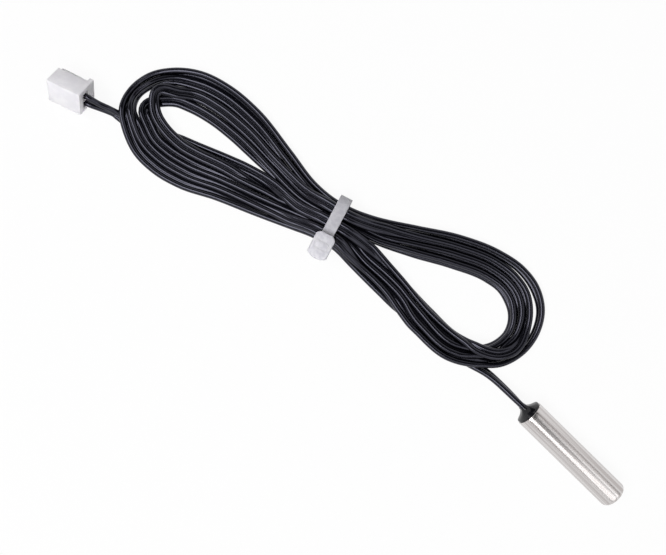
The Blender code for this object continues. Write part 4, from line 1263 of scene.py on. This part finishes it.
class PROBE_OT_build_plug(bpy.types.Operator):
    """Soften the plug's housing and finish its terminals"""
    bl_idname = "probe.build_plug"
    bl_label = "Build Plug"
    bl_options = {"REGISTER", "UNDO"}

    def execute(self, context):
        sizes = context.scene.probe_moulded
        obj = softened("plug_housing", "crimp_housing", sizes.edge_round)
        nylon = nylon_material("plug_nylon", sizes.plug, PLUG_DARK_TINT, patch=420.0, scatter=0.35)
        dressed(obj, nylon, "plug_nylon", "plug_housing")
        tin = surface(
            "terminal_tin", (0.55, 0.54, 0.51), (0.78, 0.77, 0.74), stretch=(900.0, 900.0, 900.0),
            relief_scales=(1500.0, 6000.0), roughness=(0.2, 0.4), bump=(0.2, 0.01 * MM), metallic=1.0,
        )
        for number in (1, 2):
            repaint(f"plug_terminal_{number}", tin)
        return {"FINISHED"}


class PROBE_OT_build_inside(bpy.types.Operator):
    """Finish the bead, its legs, sleeves and solder joints, and the bare strands"""
    bl_idname = "probe.build_inside"
    bl_label = "Build Inside"
    bl_options = {"REGISTER", "UNDO"}

    def execute(self, context):
        glass = surface(
            "bead_glass", (0.02, 0.012, 0.008), (0.08, 0.045, 0.03), stretch=(900.0, 900.0, 900.0),
            relief_scales=(700.0, 3000.0), roughness=(0.08, 0.18), bump=(0.1, 0.02 * MM),
        )
        wire = surface(
            "bare_wire", (0.60, 0.58, 0.55), (0.80, 0.78, 0.75), stretch=(80.0, 4000.0, 4000.0),
            relief_scales=(1500.0, 6000.0), roughness=(0.22, 0.38), bump=(0.1, 0.01 * MM), metallic=1.0,
        )
        film = surface(
            "sleeve_film", (0.42, 0.22, 0.04), (0.62, 0.38, 0.09), stretch=(500.0, 900.0, 900.0),
            relief_scales=(900.0, 4000.0), roughness=(0.30, 0.45), bump=(0.1, 0.02 * MM),
        )
        solder = surface(
            "solder", (0.52, 0.52, 0.53), (0.76, 0.76, 0.76), stretch=(1500.0, 1500.0, 1500.0),
            relief_scales=(1200.0, 5000.0), roughness=(0.25, 0.45), bump=(0.3, 0.02 * MM), metallic=1.0,
        )
        copper = surface(
            "copper_strands", (0.62, 0.28, 0.15), (0.86, 0.48, 0.30), stretch=(120.0, 5000.0, 5000.0),
            relief_scales=(1500.0, 6000.0), roughness=(0.22, 0.40), bump=(0.2, 0.01 * MM), metallic=1.0,
        )
        repaint("thermistor_bead", glass)
        for number in (1, 2):
            repaint(f"bead_leg_{number}", wire)
            repaint(f"leg_sleeve_{number}", film)
            repaint(f"solder_joint_{number}", solder)
            repaint(f"probe_conductor_{number}", copper)
            repaint(f"plug_conductor_{number}", copper)
        return {"FINISHED"}


class PROBE_OT_declare_cord(bpy.types.Operator):
    """List the pieces that the lead carries, and leave the list unused"""
    bl_idname = "probe.declare_cord"
    bl_label = "Declare Lead"
    bl_options = {"REGISTER", "UNDO"}

    def execute(self, context):
        carried = ["nylon_tie", "crimp_housing"]
        for number in (1, 2):
            carried += [f"plug_terminal_{number}", f"plug_conductor_{number}"]
        return {"FINISHED"}


# The stage in metres: half its width, its walls' height, and how the floor fades from paper that
# keeps a soft shadow near the probe to paper that only glows, far from it
STAGE_MIDDLE = (-0.06, 0.0)
STAGE_REACH = 1.6
STAGE_HEIGHT = 1.5
FLOOR_SHADOW = 0.07
FADE_START = 0.16
FADE_END = 0.36
PAPER_COLOUR = (0.9, 0.9, 0.9, 1.0)
WHITE = (1.0, 1.0, 1.0, 1.0)

# Lamps over the capsule: name, place, size and brightness
CAPSULE_LAMPS = (
    ("capsule_front", (0.36, -0.26, 0.6), (0.44, 0.34), 1.6),
    ("capsule_top", (0.36, 0.03, 0.62), (0.44, 0.2), 0.85),
    ("capsule_back", (0.36, 0.30, 0.6), (0.44, 0.24), 1.15),
)


def plain_quad(name, corners):
    """A flat four-cornered sheet for the stage."""
    mesh = bpy.data.meshes.new(name)
    mesh.from_pydata(corners, [], [(0, 1, 2, 3)])
    obj = add_object(name, mesh)
    return obj


def stage_material(shadow_share):
    """White paper that shows white in the picture and in reflections, and keeps a soft shadow."""
    material = bpy.data.materials.new("white_paper")
    material.use_nodes = True
    tree = material.node_tree
    tree.nodes.clear()
    link = tree.links.new
    rays = node(tree, "ShaderNodeLightPath")
    seen = node(tree, "ShaderNodeMath", operation="MAXIMUM")
    seen_all = node(tree, "ShaderNodeMath", operation="MAXIMUM")
    link(rays.outputs["Is Camera Ray"], seen.inputs[0])
    link(rays.outputs["Is Glossy Ray"], seen.inputs[1])
    link(seen.outputs[0], seen_all.inputs[0])
    link(rays.outputs["Is Transmission Ray"], seen_all.inputs[1])
    coords = node(tree, "ShaderNodeTexCoord")
    away = node(tree, "ShaderNodeVectorMath", operation="LENGTH")
    link(coords.outputs["Object"], away.inputs[0])
    own_glow = node(tree, "ShaderNodeMapRange", interpolation_type="SMOOTHSTEP")
    own_glow.inputs["From Min"].default_value = FADE_START
    own_glow.inputs["From Max"].default_value = FADE_END
    own_glow.inputs["To Min"].default_value = 1.0 - shadow_share
    own_glow.inputs["To Max"].default_value = 1.0
    link(away.outputs["Value"], own_glow.inputs["Value"])
    share = node(tree, "ShaderNodeMath", operation="MULTIPLY")
    link(seen_all.outputs[0], share.inputs[0])
    link(own_glow.outputs["Result"], share.inputs[1])
    paper = node(tree, "ShaderNodeBsdfDiffuse")
    paper.inputs["Color"].default_value = PAPER_COLOUR
    glow = node(tree, "ShaderNodeEmission")
    glow.inputs["Color"].default_value = WHITE
    glow.inputs["Strength"].default_value = 1.0
    mix = node(tree, "ShaderNodeMixShader")
    link(share.outputs[0], mix.inputs[0])
    link(paper.outputs[0], mix.inputs[1])
    link(glow.outputs[0], mix.inputs[2])
    leave = node(tree, "ShaderNodeOutputMaterial")
    link(mix.outputs[0], leave.inputs["Surface"])
    return material


def soft_lamp(name, place, aim, size, radiance):
    """A rectangular soft lamp aimed at a point, of a given brightness."""
    light = bpy.data.lights.new(name, "AREA")
    light.shape = "RECTANGLE"
    light.size, light.size_y = size
    light.energy = radiance * math.pi * size[0] * size[1]
    obj = bpy.data.objects.new(name, light)
    bpy.context.scene.collection.objects.link(obj)
    obj.location = place
    obj.rotation_euler = (Vector(aim) - Vector(place)).to_track_quat("-Z", "Y").to_euler()


class PROBE_OT_build_stage(bpy.types.Operator):
    """Set the camera, the white floor and wall, and the soft lamps"""
    bl_idname = "probe.build_stage"
    bl_label = "Build Stage"
    bl_options = {"REGISTER", "UNDO"}

    def execute(self, context):
        scene = context.scene
        sizes = scene.probe_stage
        camera = bpy.data.cameras.new("camera")
        camera.sensor_width = 36.0
        camera.lens = camera.sensor_width * sizes.focal_share
        camera.clip_start = 0.005
        camera.clip_end = 20.0
        holder = bpy.data.objects.new("camera", camera)
        scene.collection.objects.link(holder)
        holder.location = sizes.camera_place
        holder.rotation_euler = (0.0, 0.0, sizes.camera_turn)
        scene.camera = holder
        x0, y0 = (value - STAGE_REACH for value in STAGE_MIDDLE)
        x1, y1 = (value + STAGE_REACH for value in STAGE_MIDDLE)
        corners = [(x0, y0), (x1, y0), (x1, y1), (x0, y1)]
        floor = plain_quad("floor", [(x, y, 0.0) for x, y in corners])
        floor.data.materials.append(stage_material(FLOOR_SHADOW))
        paper = stage_material(0.0)
        for number, here in enumerate(corners):
            after = corners[(number + 1) % len(corners)]
            wall = plain_quad(
                f"wall_{number}",
                [(*after, 0.0), (*here, 0.0), (*here, STAGE_HEIGHT), (*after, STAGE_HEIGHT)],
            )
            wall.data.materials.append(paper)
        soft_lamp("hank_strip", (-0.17, -0.25, 0.6), (-0.07, -0.02, 0.0), (0.7, 0.25), sizes.strip_radiance)
        for name, place, size, radiance in CAPSULE_LAMPS:
            soft_lamp(name, place, (0.0, 0.0, 0.0), size, radiance)
        world = bpy.data.worlds.new("studio")
        scene.world = world
        world.use_nodes = True
        back = world.node_tree.nodes["Background"]
        back.inputs["Color"].default_value = WHITE
        back.inputs["Strength"].default_value = sizes.sky
        scene.view_settings.view_transform = "Standard"
        return {"FINISHED"}


class PROBE_PT_panel(bpy.types.Panel):
    """Buttons and sizes of the probe"""
    bl_idname = "PROBE_PT_panel"
    bl_label = "Bead Thermistor Probe"
    bl_space_type = "VIEW_3D"
    bl_region_type = "UI"
    bl_category = "Probe"

    def draw(self, context):
        layout = self.layout
        for operator in OPERATORS:
            layout.operator(operator.bl_idname)
        for name, group in GROUPS.items():
            box = layout.box()
            box.label(text=group.__doc__)
            for field in group.__annotations__:
                box.prop(getattr(context.scene, name), field)


GROUPS = {
    "probe_stage": StageSizes,
    "probe_lead": LeadSizes,
    "probe_capsule": CapsuleSizes,
    "probe_moulded": MouldedSizes,
}
OPERATORS = (
    PROBE_OT_build_stage, PROBE_OT_build_lead, PROBE_OT_build_capsule, PROBE_OT_build_potting,
    PROBE_OT_build_tie, PROBE_OT_build_plug, PROBE_OT_build_inside, PROBE_OT_declare_cord,
)


def register():
    """Add the sizes, the operators and the panel."""
    for group in GROUPS.values():
        bpy.utils.register_class(group)
    for name, group in GROUPS.items():
        setattr(bpy.types.Scene, name, bpy.props.PointerProperty(type=group))
    for operator in OPERATORS:
        bpy.utils.register_class(operator)
    bpy.utils.register_class(PROBE_PT_panel)


def unregister():
    """Take the panel, the operators and the sizes away."""
    bpy.utils.unregister_class(PROBE_PT_panel)
    for operator in reversed(OPERATORS):
        bpy.utils.unregister_class(operator)
    for name in GROUPS:
        delattr(bpy.types.Scene, name)
    for group in reversed(GROUPS.values()):
        bpy.utils.unregister_class(group)


def main():
    """Build every piece in order."""
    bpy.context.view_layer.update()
    register()
    bpy.ops.probe.build_stage()
    bpy.ops.probe.build_lead()
    bpy.ops.probe.build_capsule()
    bpy.ops.probe.build_potting()
    bpy.ops.probe.build_tie()
    bpy.ops.probe.build_plug()
    bpy.ops.probe.build_inside()
    bpy.ops.probe.declare_cord()


if __name__ == "__main__":
    main()
